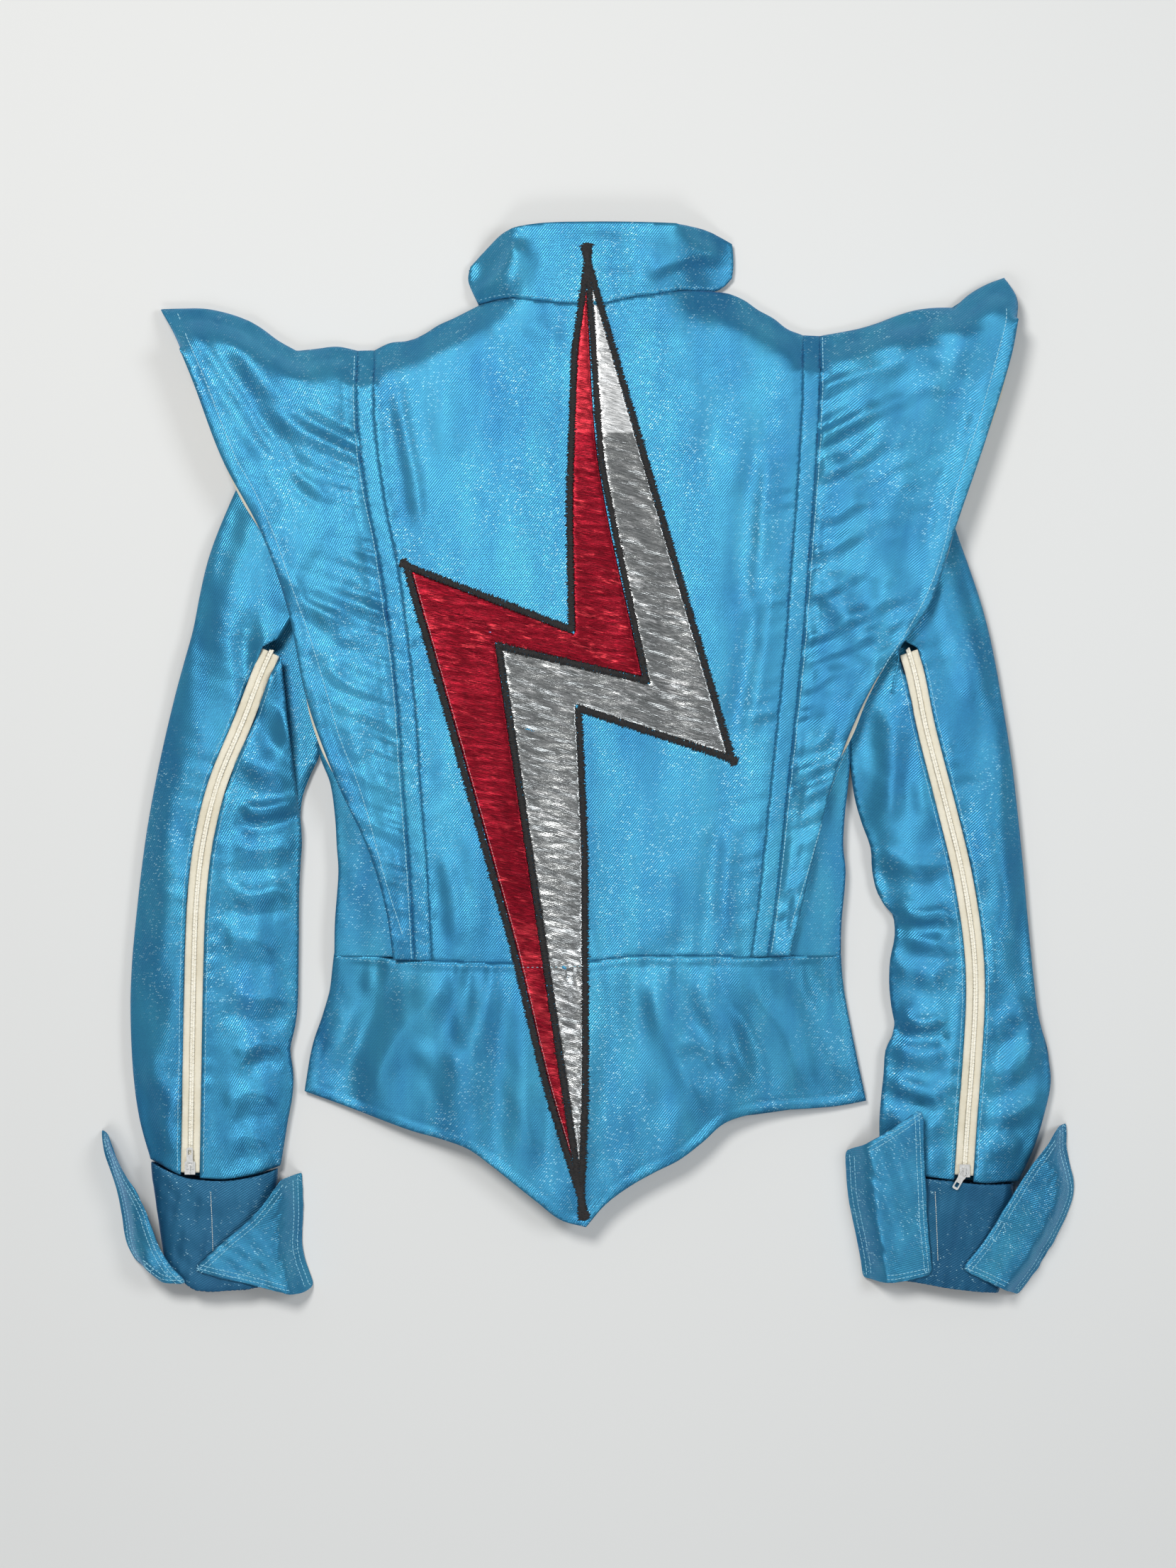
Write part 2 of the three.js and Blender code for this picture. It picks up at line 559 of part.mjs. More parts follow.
// ---------- sleeves ----------
// Where a curve first falls to a height.
function reach(line, y) {
  let [low, high] = [0, 1];
  while (high - low > 1e-4) {
    const middle = (low + high) / 2;
    if (line(middle)[1] > y) low = middle;
    else high = middle;
  }
  return low;
}

const HEAD_SHARE = 0.14;       // share of the sleeve over which its head takes the sleeve's own arch
const SLEEVE_ROUND = 2.6;      // how squarely a sleeve's cross-section fills out
const ZIP_MOUTH = 0.02;        // share of the sleeve over which the cloth parts above a zip
const ZIP_END_MARGIN = 0.003;  // share of the sleeve left free at each end of the tape

function sleevePanels(name, side) {
  const zip = curve(side.zip);
  const start = reach(zip, side.zipTop);
  const closed = start - ZIP_MOUTH;
  const opening = (t) => (t > closed + ZIP_MOUTH / 2 ? TAPE_HALF + TAPE_GAP : 0.5 * GAP);
  const rows = [...steps(4).map((t) => t * closed), ...steps(20).map((t) => mix(start, 1, t))];
  const outerSide = beside(zip, (t) => side.sign * opening(t));
  const innerSide = beside(zip, (t) => -side.sign * opening(t));
  const armAt = (t) => mixPoint(side.arm[0], side.arm[1], t);
  const shift = ([x, y]) => [x + side.sign * 0.5 * GAP, y];
  const level = (away, x, y, v) => {
    const arch = mix(SLEEVE_EDGE, SLEEVE_TOP, 1 - (1 - away) ** SLEEVE_ROUND);
    return mix(armLevel(side, y), arch, smooth(v / HEAD_SHARE));
  };
  const columns = [0, 0.1, 0.25, 0.45, 0.7, 1];
  const outerEdge = curve([shift(side.arm[0]), ...side.sleeveOuter.slice(1)]);
  const innerEdge = curve([shift(side.arm[1]), ...side.sleeveInner.slice(1)]);
  const outer = {
    top: (t) => mixPoint(outerEdge(0), outerSide(0), t),
    bottom: (t) => onWrist(side, mix(outerEdge(1)[0], outerSide(1)[0], t)),
    left: outerEdge,
    right: outerSide,
  };
  add(`sleeve_outer_panel_${name}`, patch(outer, columns, rows, (x, y, u, v) => level(u, x, y, v)), BLUE);
  const inner = {
    top: (t) => mixPoint(innerEdge(0), innerSide(0), t),
    bottom: (t) => onWrist(side, mix(innerEdge(1)[0], innerSide(1)[0], t)),
    left: innerEdge,
    right: innerSide,
  };
  add(`sleeve_inner_panel_${name}`, patch(inner, columns, rows, (x, y, u, v) => level(u, x, y, v)), BLUE);
  const outline = [...trace(outerEdge, 20), ...side.wrist.slice(1, -1), ...trace(innerEdge, 18).reverse()];
  add(`sleeve_under_panel_${name}`, flat(outline, SIDE_FLOOR, CLOTH), BLUE);
}

function ribbon(line, from, to, near, far, level, thickness, n = 26) {
  const rows = steps(n).map((t) => {
    const s = mix(from, to, t);
    return [near, far].map((distance) => [...beside(line, () => distance)(s), level]);
  });
  return gridSheet(rows, thickness);
}

function sleeveZip(name, side) {
  const zip = curve(side.zip);
  const [start, end] = [reach(zip, side.zipTop) + ZIP_END_MARGIN, 1 - ZIP_END_MARGIN];
  for (const [which, sign] of [['outer', side.sign], ['inner', -side.sign]]) {
    const near = sign * (CHAIN_HALF + 0.5 * GAP);
    add(`zip_tape_${which}_${name}`, ribbon(zip, start, end, near, sign * TAPE_HALF, SLEEVE_TOP, TAPE), CREAM);
  }
  const top = SLEEVE_TOP + CHAIN_RISE;
  add(`zip_chain_${name}`, ribbon(zip, start, end, -CHAIN_HALF, CHAIN_HALF, top, CHAIN_HEIGHT), CHAIN_CREAM);
}

// ---------- zip sliders and pulls ----------
const SLIDER = {
  width: 7.6, length: 9.2, plate: 1.3, lip: 1.5, arch: 1.0, archLength: 5.4, archHeight: 2.6, bar: 0.7,
  lipClear: 0.3,
};
const PULL = {
  length: 15, eyeWidth: 5.6, eyeHole: 4.2, endWidth: 4.6, thickness: 0.8, crossbar: 0.9, eyeLength: 4.6,
  rim: 0.6, taper: 1.6, bevel: 0.8, clear: 0.3, windowWidth: 2.6, windowLength: 3.6, windowEnd: 5.2,
};
const JOIN = 0.2;               // how far the arch's feet reach into the plate

// The slider rides on the chain: a plate, two lips beside the chain, and the arch that holds the pull.
// Its origin is the middle of the chain's top, and it runs along Y.
function sliderSolid() {
  const { width, length, plate, lip, arch, archLength, archHeight, bar, lipClear } = SLIDER;
  const box = (w, l, h, x, y, z) => wasm.Manifold.cube([w, l, h]).translate([x - w / 2, y - l / 2, z]);
  const lipHeight = CHAIN_RISE - lipClear;
  const parts = [
    box(width, length, plate, 0, 0, GAP),
    box(lip, length, lipHeight + GAP, (width - lip) / 2, 0, GAP - lipHeight),
    box(lip, length, lipHeight + GAP, -(width - lip) / 2, 0, GAP - lipHeight),
  ];
  const top = GAP + plate;
  for (const end of [-1, 1]) {
    parts.push(box(arch, bar, archHeight + JOIN, 0, end * (archLength - bar) / 2, top - JOIN));
  }
  parts.push(box(arch, archLength, bar, 0, 0, top + archHeight - bar));
  return wasm.Manifold.union(parts);
}

// The pull lies flat: its crossbar is at the origin, inside the arch, and it points along +Y.
function pullSolid() {
  const { length, eyeWidth, eyeHole, endWidth, thickness, crossbar, eyeLength, rim, taper, bevel } = PULL;
  const half = crossbar / 2;
  const edge = [[eyeWidth / 2, -half], [eyeWidth / 2, eyeLength], [endWidth / 2, eyeLength + taper],
    [endWidth / 2, length - bevel], [endWidth / 2 - bevel, length]];
  const mirrored = edge.map(([x, y]) => [-x, y]).reverse();
  const body = new wasm.CrossSection([[...edge, ...mirrored]]);
  const eye = wasm.CrossSection.square([eyeHole, eyeLength - rim - half]).translate([-eyeHole / 2, half]);
  const window = wasm.CrossSection.square([PULL.windowWidth, PULL.windowLength])
    .translate([-PULL.windowWidth / 2, length - PULL.windowEnd]);
  return body.subtract(eye).subtract(window).extrude(thickness).translate([0, 0, -thickness / 2]);
}

const crossbarLevel = GAP + SLIDER.plate + PULL.clear + PULL.thickness / 2;

// A slider at the chain's top and its pull, turned its own way. A flipped pair faces down.
function sliderAndPull(names, origin, pullTurn, flip = false) {
  const place = (solid, turn, lift) => solid.translate([0, 0, lift]).rotate([0, flip ? 180 : 0, 0])
    .rotate([0, 0, turn]).translate(origin);
  add(names.slider, fromManifold(place(sliderSolid(), 0, 0)), NICKEL);
  add(names.pull, fromManifold(place(pullSolid(), pullTurn, crossbarLevel)), NICKEL);
}

function sleeveSlider(name, side) {
  const zip = curve(side.zip);
  const at = zip(reach(zip, zip(1)[1] + SLIDER.length / 2));
  const top = SLEEVE_TOP + CHAIN_RISE;
  const names = { slider: `zip_slider_${name}`, pull: `zip_pull_${name}` };
  sliderAndPull(names, [...at, top], side.pull);
}

// ---------- front zip, above the slot between the front panels and facing down through it ----------
function frontZip() {
  const [low, high] = [FRONT_HEM + FRONT_ZIP_START, yAt(CREST, 0) + FRONT_ZIP_END];
  for (const [name, sign] of [['left', -1], ['right', 1]]) {
    const near = sign * (CHAIN_HALF + 0.5 * GAP);
    const far = sign * (FRONT_SLOT + FRONT_TAPE_LAP);
    const outline = [[near, low], [far, low], [far, high], [near, high]];
    add(`front_zip_tape_${name}`, flat(outline, FRONT_TAPE_FLOOR, TAPE), CREAM);
  }
  const chain = [[-CHAIN_HALF, low], [CHAIN_HALF, low], [CHAIN_HALF, high], [-CHAIN_HALF, high]];
  add('front_zip_chain', flat(chain, FRONT_TAPE_FLOOR - CHAIN_RISE, CHAIN_HEIGHT), CHAIN_CREAM);
}

// ---------- cuffs ----------
const CUFF_SQUARE = { across: 4, up: 0.35 };  // exponents that square off the oval

// A flattened tube: each row is a rounded oval between two x values, with y a function of x.
function cuffBand(name, side) {
  const around = 28;
  const { sides, bottom, middle } = side.cuff;
  const wrist = (x) => onWrist(side, x, WRIST_GAP)[1];
  const rowsY = [wrist, () => middle, (x) => yAt(bottom, x)];
  const loop = (row, insetBy) => steps(around).slice(0, -1).map((t) => {
    const [a, b] = sides[row];
    const across = Math.cos(2 * Math.PI * t);
    const x = (a + b) / 2 + (Math.abs(a - b) / 2 - insetBy) * across;
    const bulge = (1 - Math.abs(across) ** CUFF_SQUARE.across) ** CUFF_SQUARE.up * Math.sign(0.5 - t);
    return [x, rowsY[row](x), CUFF_HEIGHT / 2 + (CUFF_HEIGHT / 2 - insetBy) * bulge];
  });
  const loops = [0, 1, 2].map((row) => loop(row, 0)).concat([2, 1, 0].map((row) => loop(row, CLOTH)));
  const positions = loops.flat(2);
  const faces = [];
  for (let row = 0; row < loops.length; row++) {
    const next = (row + 1) % loops.length;
    for (let i = 0; i < around; i++) {
      const j = (i + 1) % around;
      const [a, b, c, d] = [row * around + i, row * around + j, next * around + j, next * around + i];
      faces.push(a, b, c, a, c, d);
    }
  }
  add(`cuff_band_${name}`, outward(positions, faces), DEEP_BLUE);
}

function cuffWing(name, which, edges) {
  const shape = {
    top: curve(edges.top),
    bottom: curve(edges.bottom),
    left: curve(edges.silhouette),
    right: curve(edges.free),
  };
  const level = (x, y, u, v) => {
    const [ax, ay] = shape.left(v);
    const [bx, by] = shape.right(v);
    const away = u * Math.hypot(bx - ax, by - ay);
    const full = CUFF_TOP + CUFF_FLARE * (1 - v) * u;
    return mix(CLOTH, full, smooth(away / CUFF_ROLL));
  };
  const columns = [0, 0.1, 0.2, 0.3, 0.4, 0.55, 0.75, 1];
  add(`cuff_${which}_wing_${name}`, patch(shape, columns, steps(8), level), BLUE);
}

// ---------- bolt ----------
const BOLT = {
  tip: [-1.3, 377.5], bowHigh: [-12.5, 300], bowLow: [-16.3, 190], innerCorner: [-14.7, 101],
  leftTip: [-136, 148], waistLeft: [-58, -130], tailLeft: [-31.5, -240],
  tail: [-2.8, -331], tailRight: [0.8, -240], legRight: [0.2, -60],
  silverCorner: [-4, 36.4], rightTip: [108.4, -0.5],
  dividerBow: [9.5, 218], dividerRight: [42, 60.3], dividerLeft: [-65, 85.5],
};

function bolt() {
  const b = BOLT;
  const redEdge = [b.tip, b.bowHigh, b.bowLow, b.innerCorner, b.leftTip, b.waistLeft, b.tailLeft];
  const silverEdge = [b.tail, b.tailRight, b.legRight, b.silverCorner, b.rightTip];
  const outline = [...redEdge, ...silverEdge];
  const red = [...redEdge, b.tail, b.dividerLeft, b.dividerRight, b.dividerBow];
  const silver = [b.tip, b.dividerBow, b.dividerRight, b.dividerLeft, ...silverEdge];
  const redHole = inset(red, red.map((_, i) => (i < redEdge.length ? STROKE : DIVIDER)));
  const silverHole = inset(silver, silver.map((_, i) => (i < silver.length - silverEdge.length ? DIVIDER : STROKE)));
  const base = CROWN + BOLT_CLEAR;
  add('bolt_outline', flat(outline, base, OUTLINE_HEIGHT, [redHole, silverHole]), BLACK);
  const piece = (hole) => flat(inset(hole, hole.map(() => BOLT_CLEAR)), base, APPLIQUE);
  add('bolt_red', piece(redHole), RED);
  add('bolt_silver', piece(silverHole), SILVER);
}

// ---------- assembly ----------
backCentrePanel();
backLining();
backPeplum();
collarOuter();
collarFacing();
bolt();
frontZip();
sliderAndPull({ slider: 'front_zip_slider', pull: 'front_zip_pull' },
  [0, FRONT_SLIDER_Y, FRONT_TAPE_FLOOR - CHAIN_RISE], 180, true);
for (const [name, side] of Object.entries(SIDES)) {
  backSidePanel(name, side);
  seamBand(name, side);
  wingBack(name, side);
  wingStiffener(name, side);
  wingFront(name, side);
  frontPanel(name, side);
  frontSidePanel(name, side);
  frontLining(name, side);
  frontPeplum(name, side);
  collarFront(name, side);
  sleevePanels(name, side);
  sleeveZip(name, side);
  sleeveSlider(name, side);
  cuffBand(name, side);
  cuffWing(name, 'outer', side.outerWing);
  cuffWing(name, 'inner', side.innerWing);
}

// The part's frame: the middle of its footprint, on the floor.
const extent = new THREE.Box3().setFromObject(group);
const centre = extent.getCenter(new THREE.Vector3());
group.position.set(-centre.x, -centre.y, -extent.min.z);
group.updateMatrixWorld(true);

export default group;
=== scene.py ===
"""The looks of a costume jacket lying on its front: cloth, stitching, zips, bolt, floor, lights, camera.

Lengths in the tables are millimetres of the cutting pattern; PATTERN takes them into the frame, in metres.
"""
import math

import bpy
import numpy as np
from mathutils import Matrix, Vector, bvhtree, geometry, kdtree


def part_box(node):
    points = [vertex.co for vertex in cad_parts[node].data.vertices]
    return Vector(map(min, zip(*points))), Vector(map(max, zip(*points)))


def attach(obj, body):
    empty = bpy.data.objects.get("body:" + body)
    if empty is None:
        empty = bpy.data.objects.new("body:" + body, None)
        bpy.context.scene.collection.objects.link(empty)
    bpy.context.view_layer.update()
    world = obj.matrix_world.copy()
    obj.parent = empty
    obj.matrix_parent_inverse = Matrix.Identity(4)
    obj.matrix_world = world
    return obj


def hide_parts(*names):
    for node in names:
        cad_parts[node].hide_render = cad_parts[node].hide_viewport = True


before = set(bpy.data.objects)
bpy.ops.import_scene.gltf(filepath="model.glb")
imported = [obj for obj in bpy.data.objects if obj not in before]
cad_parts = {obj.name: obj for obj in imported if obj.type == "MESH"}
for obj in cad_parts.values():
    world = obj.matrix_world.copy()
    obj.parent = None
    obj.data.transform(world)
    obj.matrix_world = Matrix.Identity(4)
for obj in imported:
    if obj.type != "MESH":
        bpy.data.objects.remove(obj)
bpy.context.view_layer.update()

MM = 0.001
PATTERN = np.array([-0.25, -2.01])    # where the pattern's origin lies in the frame
FINE = 2.3                            # spacing of the points of cloth that shows
PLAIN = 5.0                           # and of cloth that is mostly hidden
QUICK_SCALE = 1.0


# ---------- plan geometry ----------
def at(points):
    """Pattern millimetres to frame millimetres."""
    return np.asarray(points, float) + PATTERN


def smooth(t):
    t = np.clip(t, 0, 1)
    return t * t * (3 - 2 * t)


def resampled(points, step, closed=False, corner=32):
    """A line through points, with one about every step. It bends smoothly, except where it turns by more than
    corner degrees."""
    points = np.asarray(points, float)
    n = len(points)
    if closed:
        before, after = np.roll(points, 1, 0), np.roll(points, -1, 0)
    else:
        before = np.vstack([points[:1], points[:-1]])
        after = np.vstack([points[1:], points[-1:]])
    a, b = points - before, after - points
    turn = np.degrees(np.abs(np.arctan2(a[:, 0] * b[:, 1] - a[:, 1] * b[:, 0], (a * b).sum(1))))
    sharp = turn > corner
    slope = (after - before) / 2
    out = []
    for i in range(n if closed else n - 1):
        j = (i + 1) % n
        p, q = points[i], points[j]
        length = np.hypot(*(q - p))
        if length < 1e-9:
            continue
        reach_p = max(np.hypot(*(after[i] - before[i])), 1e-9)
        reach_q = max(np.hypot(*(after[j] - before[j])), 1e-9)
        m0 = (q - p) if sharp[i] else slope[i] * 2 * length / reach_p
        m1 = (q - p) if sharp[j] else slope[j] * 2 * length / reach_q
        count = max(1, int(round(length / step)))
        t = (np.arange(count) / count)[:, None]
        out.append((2 * t**3 - 3 * t**2 + 1) * p + (t**3 - 2 * t**2 + t) * m0
                   + (3 * t**2 - 2 * t**3) * q + (t**3 - t**2) * m1)
    if not closed:
        out.append(points[-1:])
    return np.vstack(out)


def arc_length(line):
    return np.concatenate([[0], np.cumsum(np.hypot(*np.diff(line, axis=0).T))])


def on_line(line, where):
    """The points at places along a line, in millimetres from its start."""
    place = arc_length(line)
    return np.stack([np.interp(where, place, line[:, k]) for k in (0, 1)], 1)


def nearest_on(xy, line):
    """For each point: distance to a line, signed to its left, and its place along it in millimetres."""
    best = np.full(len(xy), 1e9)
    signed = np.zeros(len(xy))
    place = np.zeros(len(xy))
    lengths = arc_length(line)
    for i in range(len(line) - 1):
        a, b = line[i], line[i + 1]
        d = b - a
        size = max(d @ d, 1e-12)
        t = np.clip(((xy - a) @ d) / size, 0, 1)
        off = xy - a - t[:, None] * d
        dist = np.hypot(off[:, 0], off[:, 1])
        near = dist < best
        best[near] = dist[near]
        side = np.sign(d[0] * off[:, 1] - d[1] * off[:, 0])
        signed[near] = (dist * side)[near]
        place[near] = (lengths[i] + t * math.sqrt(size))[near]
    return signed, place


def inside(xy, loop):
    hit = np.zeros(len(xy), bool)
    for (x0, y0), (x1, y1) in zip(loop, np.roll(loop, -1, 0)):
        if y0 == y1:
            continue
        cross = ((xy[:, 1] < y0) != (xy[:, 1] < y1)) & (
            xy[:, 0] < x0 + (xy[:, 1] - y0) * (x1 - x0) / (y1 - y0))
        hit ^= cross
    return hit


def offset(line, distance):
    """A line beside another; a positive distance lies to its left."""
    d = np.gradient(line, axis=0)
    d /= np.maximum(np.hypot(d[:, 0], d[:, 1]), 1e-9)[:, None]
    return line + distance * np.stack([-d[:, 1], d[:, 0]], 1)


# ---------- folds, all in frame millimetres ----------
FOLD_FADE = 0.25      # share of a fold's length in which each end of it dies away


def beside(xy, points, reach):
    """Which points lie near a line, their distances to it, their places along it and its length."""
    line = resampled(at(points), 6)
    low, high = line.min(0) - 4 * reach, line.max(0) + 4 * reach
    near = ((xy > low) & (xy < high)).all(1)
    return near, *nearest_on(xy[near], line), arc_length(line)[-1]


def fold(xy, points, height, width, valley, skew=0.0):
    """A ridge along a line, or a valley where height is negative. valley adds a trough beside the right side,
    and skew makes the left side steeper."""
    near, signed, place, total = beside(xy, points, width)
    out = np.zeros(len(xy))
    t = place / total
    ends = smooth(t / FOLD_FADE) * smooth((1 - t) / FOLD_FADE)
    spread = np.where(signed > 0, width * (1 - skew), width * (1 + skew))
    shape = np.exp(-((signed / spread) ** 2))
    shape -= valley * np.exp(-(((signed + 1.7 * width) / width) ** 2))
    out[near] = height * ends * shape
    return out


def waves(xy, seed, length, direction=0.0, spread=0.5, count=7):
    """A smooth random swell of about unit height. direction is where its waves travel, in degrees."""
    rng = np.random.RandomState(seed)
    total = np.zeros(len(xy))
    for _ in range(count):
        angle = math.radians(direction) + rng.uniform(-spread, spread)
        k = 2 * math.pi / (length * rng.uniform(0.65, 1.5))
        phase = rng.uniform(0, 2 * math.pi)
        total += np.sin(k * (xy[:, 0] * math.cos(angle) + xy[:, 1] * math.sin(angle)) + phase)
    return total / math.sqrt(count)


def pucker(xy, points, side, reach, pitch, height, seed, slant=0.0, start=0.0, end=1.0):
    """Ripples that run out of a seam on one side of a line (1 is its left) and die away within reach."""
    near, signed, place, total = beside(xy, points, reach)
    out = np.zeros(len(xy))
    away = np.maximum(signed * side, 0)
    along = place + slant * away
    rng = np.random.RandomState(seed)
    swing = sum(rng.uniform(0.5, 1) * np.sin(2 * math.pi * along / (pitch * r) + rng.uniform(0, 6.3))
                for r in (0.83, 1.0, 1.37, 1.9))
    t = place / total
    strength = smooth((t - start) / 0.08) * smooth((end - t) / 0.08)
    strength *= 0.6 + 0.4 * np.sin(2 * math.pi * place / (pitch * 6.1) + rng.uniform(0, 6.3))
    out[near] = np.where(signed * side > 0, height * strength * swing * 0.5
                         * np.exp(-away / reach) * (1 - np.exp(-away / 1.5)), 0)
    return out


# ---------- reading the frame ----------
def vectors(items, field):
    out = np.zeros(len(items) * 3)
    items.foreach_get(field, out)
    return out.reshape(-1, 3)


def triangles(data):
    data.calc_loop_triangles()
    tri = np.zeros(len(data.loop_triangles) * 3, int)
    data.loop_triangles.foreach_get("vertices", tri)
    return tri.reshape(-1, 3)


def face_normals(points, tri):
    """A normal of each triangle, twice as long as its area."""
    a, b, c = points[tri[:, 0]], points[tri[:, 1]], points[tri[:, 2]]
    return np.cross(b - a, c - a)


def node_mesh(node):
    """Welded points in millimetres, and triangles, of a CAD node."""
    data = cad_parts[node].data
    co = vectors(data.vertices, "co")
    points, same = np.unique(np.round(co / MM, 3), axis=0, return_inverse=True)
    return points, same.reshape(-1)[triangles(data)]


def top_of(node):
    """The upward side of a CAD sheet: its points, triangles and outline in plan."""
    points, tri = node_mesh(node)
    normal = face_normals(points, tri)
    size = np.linalg.norm(normal, axis=1)
    up = tri[(size > 1e-9) & (normal[:, 2] > 0.12 * np.maximum(size, 1e-9))]
    follow = {}
    edges = set()
    for t in up:
        for i in range(3):
            edges.add((t[i], t[(i + 1) % 3]))
    for i, j in edges:
        if (j, i) not in edges:
            follow[i] = j
    best = []
    while follow:
        start, loop = next(iter(follow)), []
        i = start
        while i in follow:
            loop.append(i)
            i = follow.pop(i)
        if len(loop) > len(best):
            best = loop
    return points, up, points[best][:, :2]


ABOVE_ALL = 500       # from this level rays look down
CAD_LEVEL = 12        # about the middle of the CAD's sheets
TOP_LEVEL = 25        # and of the cloth on top


def surface(points, tri):
    return bvhtree.BVHTree.FromPolygons([Vector(p) for p in points], tri.tolist())


def below(tree, x, y):
    return tree.ray_cast(Vector((x, y, ABOVE_ALL)), Vector((0, 0, -1)))[0]


def heights(tree, xy, usual=TOP_LEVEL):
    """The level of the surface's top at each plan point, or where it has none, of what is nearest to usual."""
    out = np.zeros(len(xy))
    for i, (x, y) in enumerate(xy):
        hit = below(tree, x, y)
        out[i] = hit.z if hit else tree.find_nearest(Vector((x, y, usual)))[0].z
    return out


# ---------- making cloth ----------
def boundary_distance(xy, loop):
    tree = kdtree.KDTree(len(loop))
    for i, (x, y) in enumerate(loop):
        tree.insert((x, y, 0), i)
    tree.balance()
    return np.array([tree.find((x, y, 0))[2] for x, y in xy])


def filled(loop, spacing):
    """Plan points and triangles inside a loop, evenly spaced, with the loop's own points first."""
    low, high = loop.min(0), loop.max(0)
    rows = np.arange(low[1], high[1], spacing * 0.866)
    grid = []
    for j, y in enumerate(rows):
        x = np.arange(low[0] + (j % 2) * spacing / 2, high[0], spacing)
        grid.append(np.stack([x, np.full(len(x), y)], 1))
    grid = np.vstack(grid)
    grid = grid[inside(grid, loop)]
    grid = grid[boundary_distance(grid, loop) > 0.55 * spacing]
    every = np.vstack([loop, grid])
    n = len(loop)
    rim = [(i, (i + 1) % n) for i in range(n)]
    made = geometry.delaunay_2d_cdt([Vector(p) for p in every], rim, [], 1, 1e-6)
    return np.array([v[:] for v in made[0]]), np.array(made[2])


def blur(values, tri, times, keep):
    """Averages each point's value with its neighbours', except where keep is true."""
    edges = np.unique(np.sort(np.vstack([tri[:, [0, 1]], tri[:, [1, 2]], tri[:, [2, 0]]]), 1), axis=0)
    a, b = edges[:, 0], edges[:, 1]
    count = np.bincount(a, minlength=len(values)) + np.bincount(b, minlength=len(values))
    for _ in range(times):
        total = np.bincount(a, values[b], len(values)) + np.bincount(b, values[a], len(values))
        values = np.where(keep, values, 0.5 * values + 0.5 * total / np.maximum(count, 1))
    return values


def new_mesh(name, points, faces, material):
    """A piece from points in millimetres."""
    data = bpy.data.meshes.new(name)
    data.from_pydata((np.asarray(points) * MM).tolist(), [], [tuple(f) for f in faces])
    data.materials.append(material)
    data.polygons.foreach_set("use_smooth", [True] * len(data.polygons))
    data.update()
    piece = bpy.data.objects.new(name, data)
    bpy.context.scene.collection.objects.link(piece)
    return piece


def closed_sheet(top, tri, loop_count, thickness):
    """Points and faces of a sheet: its top, the same moved down its normals, and a rim round its outline."""
    face_normal = face_normals(top, tri)
    normal = np.zeros_like(top)
    for k in range(3):
        for axis in range(3):
            normal[:, axis] += np.bincount(tri[:, k], face_normal[:, axis], len(top))
    normal /= np.maximum(np.linalg.norm(normal, axis=1), 1e-12)[:, None]
    under = top - thickness * np.maximum(normal, [-0.5, -0.5, 0.3]) * [0.5, 0.5, 1]
    n = len(top)
    ring = np.arange(loop_count)
    after = np.roll(ring, -1)
    rim = np.stack([ring, ring + n, after + n, after], 1)
    faces = [*tri.tolist(), *(tri[:, ::-1] + n).tolist(), *rim.tolist()]
    return np.vstack([top, under]), faces


def widened(loop, distance):
    """A closed outline moved outwards."""
    ahead, behind = np.roll(loop, -1, 0), np.roll(loop, 1, 0)
    d = ahead - behind
    d /= np.maximum(np.hypot(d[:, 0], d[:, 1]), 1e-9)[:, None]
    turned = (loop[:, 0] * ahead[:, 1] - loop[:, 1] * ahead[:, 0]).sum()
    return loop + math.copysign(distance, turned) * np.stack([d[:, 1], -d[:, 0]], 1)


SEAM_CLOSE = 0.3      # how far cloth that shows reaches into the gap that the CAD leaves at a seam
EDGE_DIP = 0.35       # how far cloth rolls down at its edges
EDGE_ROUND = 1.5      # and how far from the edge this starts
SHEETS = {}           # piece name -> (points, triangles, outline) of its top, for stitches to lie on


def tops():
    """A tree of the tops of all sheets made so far."""
    points, faces, count = [], [], 0
    for top, tri, _ in SHEETS.values():
        points.append(top)
        faces.append(tri + count)
        count += len(top)
    return surface(np.vstack(points), np.vstack(faces))


def cloth(node, material, spacing=FINE, thickness=1.6, shape=None, body="jacket",
          floor=None, on=None, dip=EDGE_DIP, round_by=EDGE_ROUND, grow=SEAM_CLOSE, tuck=0.0):
    """A fabric piece in the place of a CAD sheet. shape(xy, away) is added to the CAD surface, where away is
    the distance to the nearest edge. on is a tree of cloth that the piece lies on instead. grow widens it to
    close the gap at a seam, tuck moves its lowest edge down, under its neighbour, and floor is the least level
    of its top."""
    points, up, outline = top_of(node)
    loop = widened(resampled(outline, spacing, closed=True), grow)
    loop[:, 1] -= tuck * smooth((loop[:, 1].min() + 12 - loop[:, 1]) / 4)
    xy, tri = filled(loop, spacing * QUICK_SCALE)
    on_edge = np.arange(len(xy)) < len(loop)
    if on is None:
        z = heights(surface(points, up), xy, CAD_LEVEL)
        z = blur(z, tri, int(34 * (FINE / spacing) ** 2 / QUICK_SCALE**2), on_edge)
    else:
        z = blur(heights(on, xy), tri, 6, on_edge) + thickness + 0.1
    away = boundary_distance(xy, loop)
    if shape is not None:
        z = z + shape(xy, away)
    z = z - dip * np.exp(-((away / round_by) ** 2))
    if floor is not None:
        z = np.maximum(z, floor)
    top = np.column_stack([xy, z])
    flipped = face_normals(top, tri)[:, 2] < 0
    tri[flipped] = tri[flipped][:, ::-1]
    solid, faces = closed_sheet(top, tri, len(loop), thickness)
    name = "cloth_" + node
    piece = new_mesh(name, solid, faces, material)
    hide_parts(node)
    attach(piece, body)
    SHEETS[name] = (top, tri, loop)
    return piece


# ---------- materials ----------
def nodes_of(name):
    material = bpy.data.materials.new(name)
    material.use_nodes = True
    tree = material.node_tree
    shader = tree.nodes["Principled BSDF"]
    return material, tree, shader


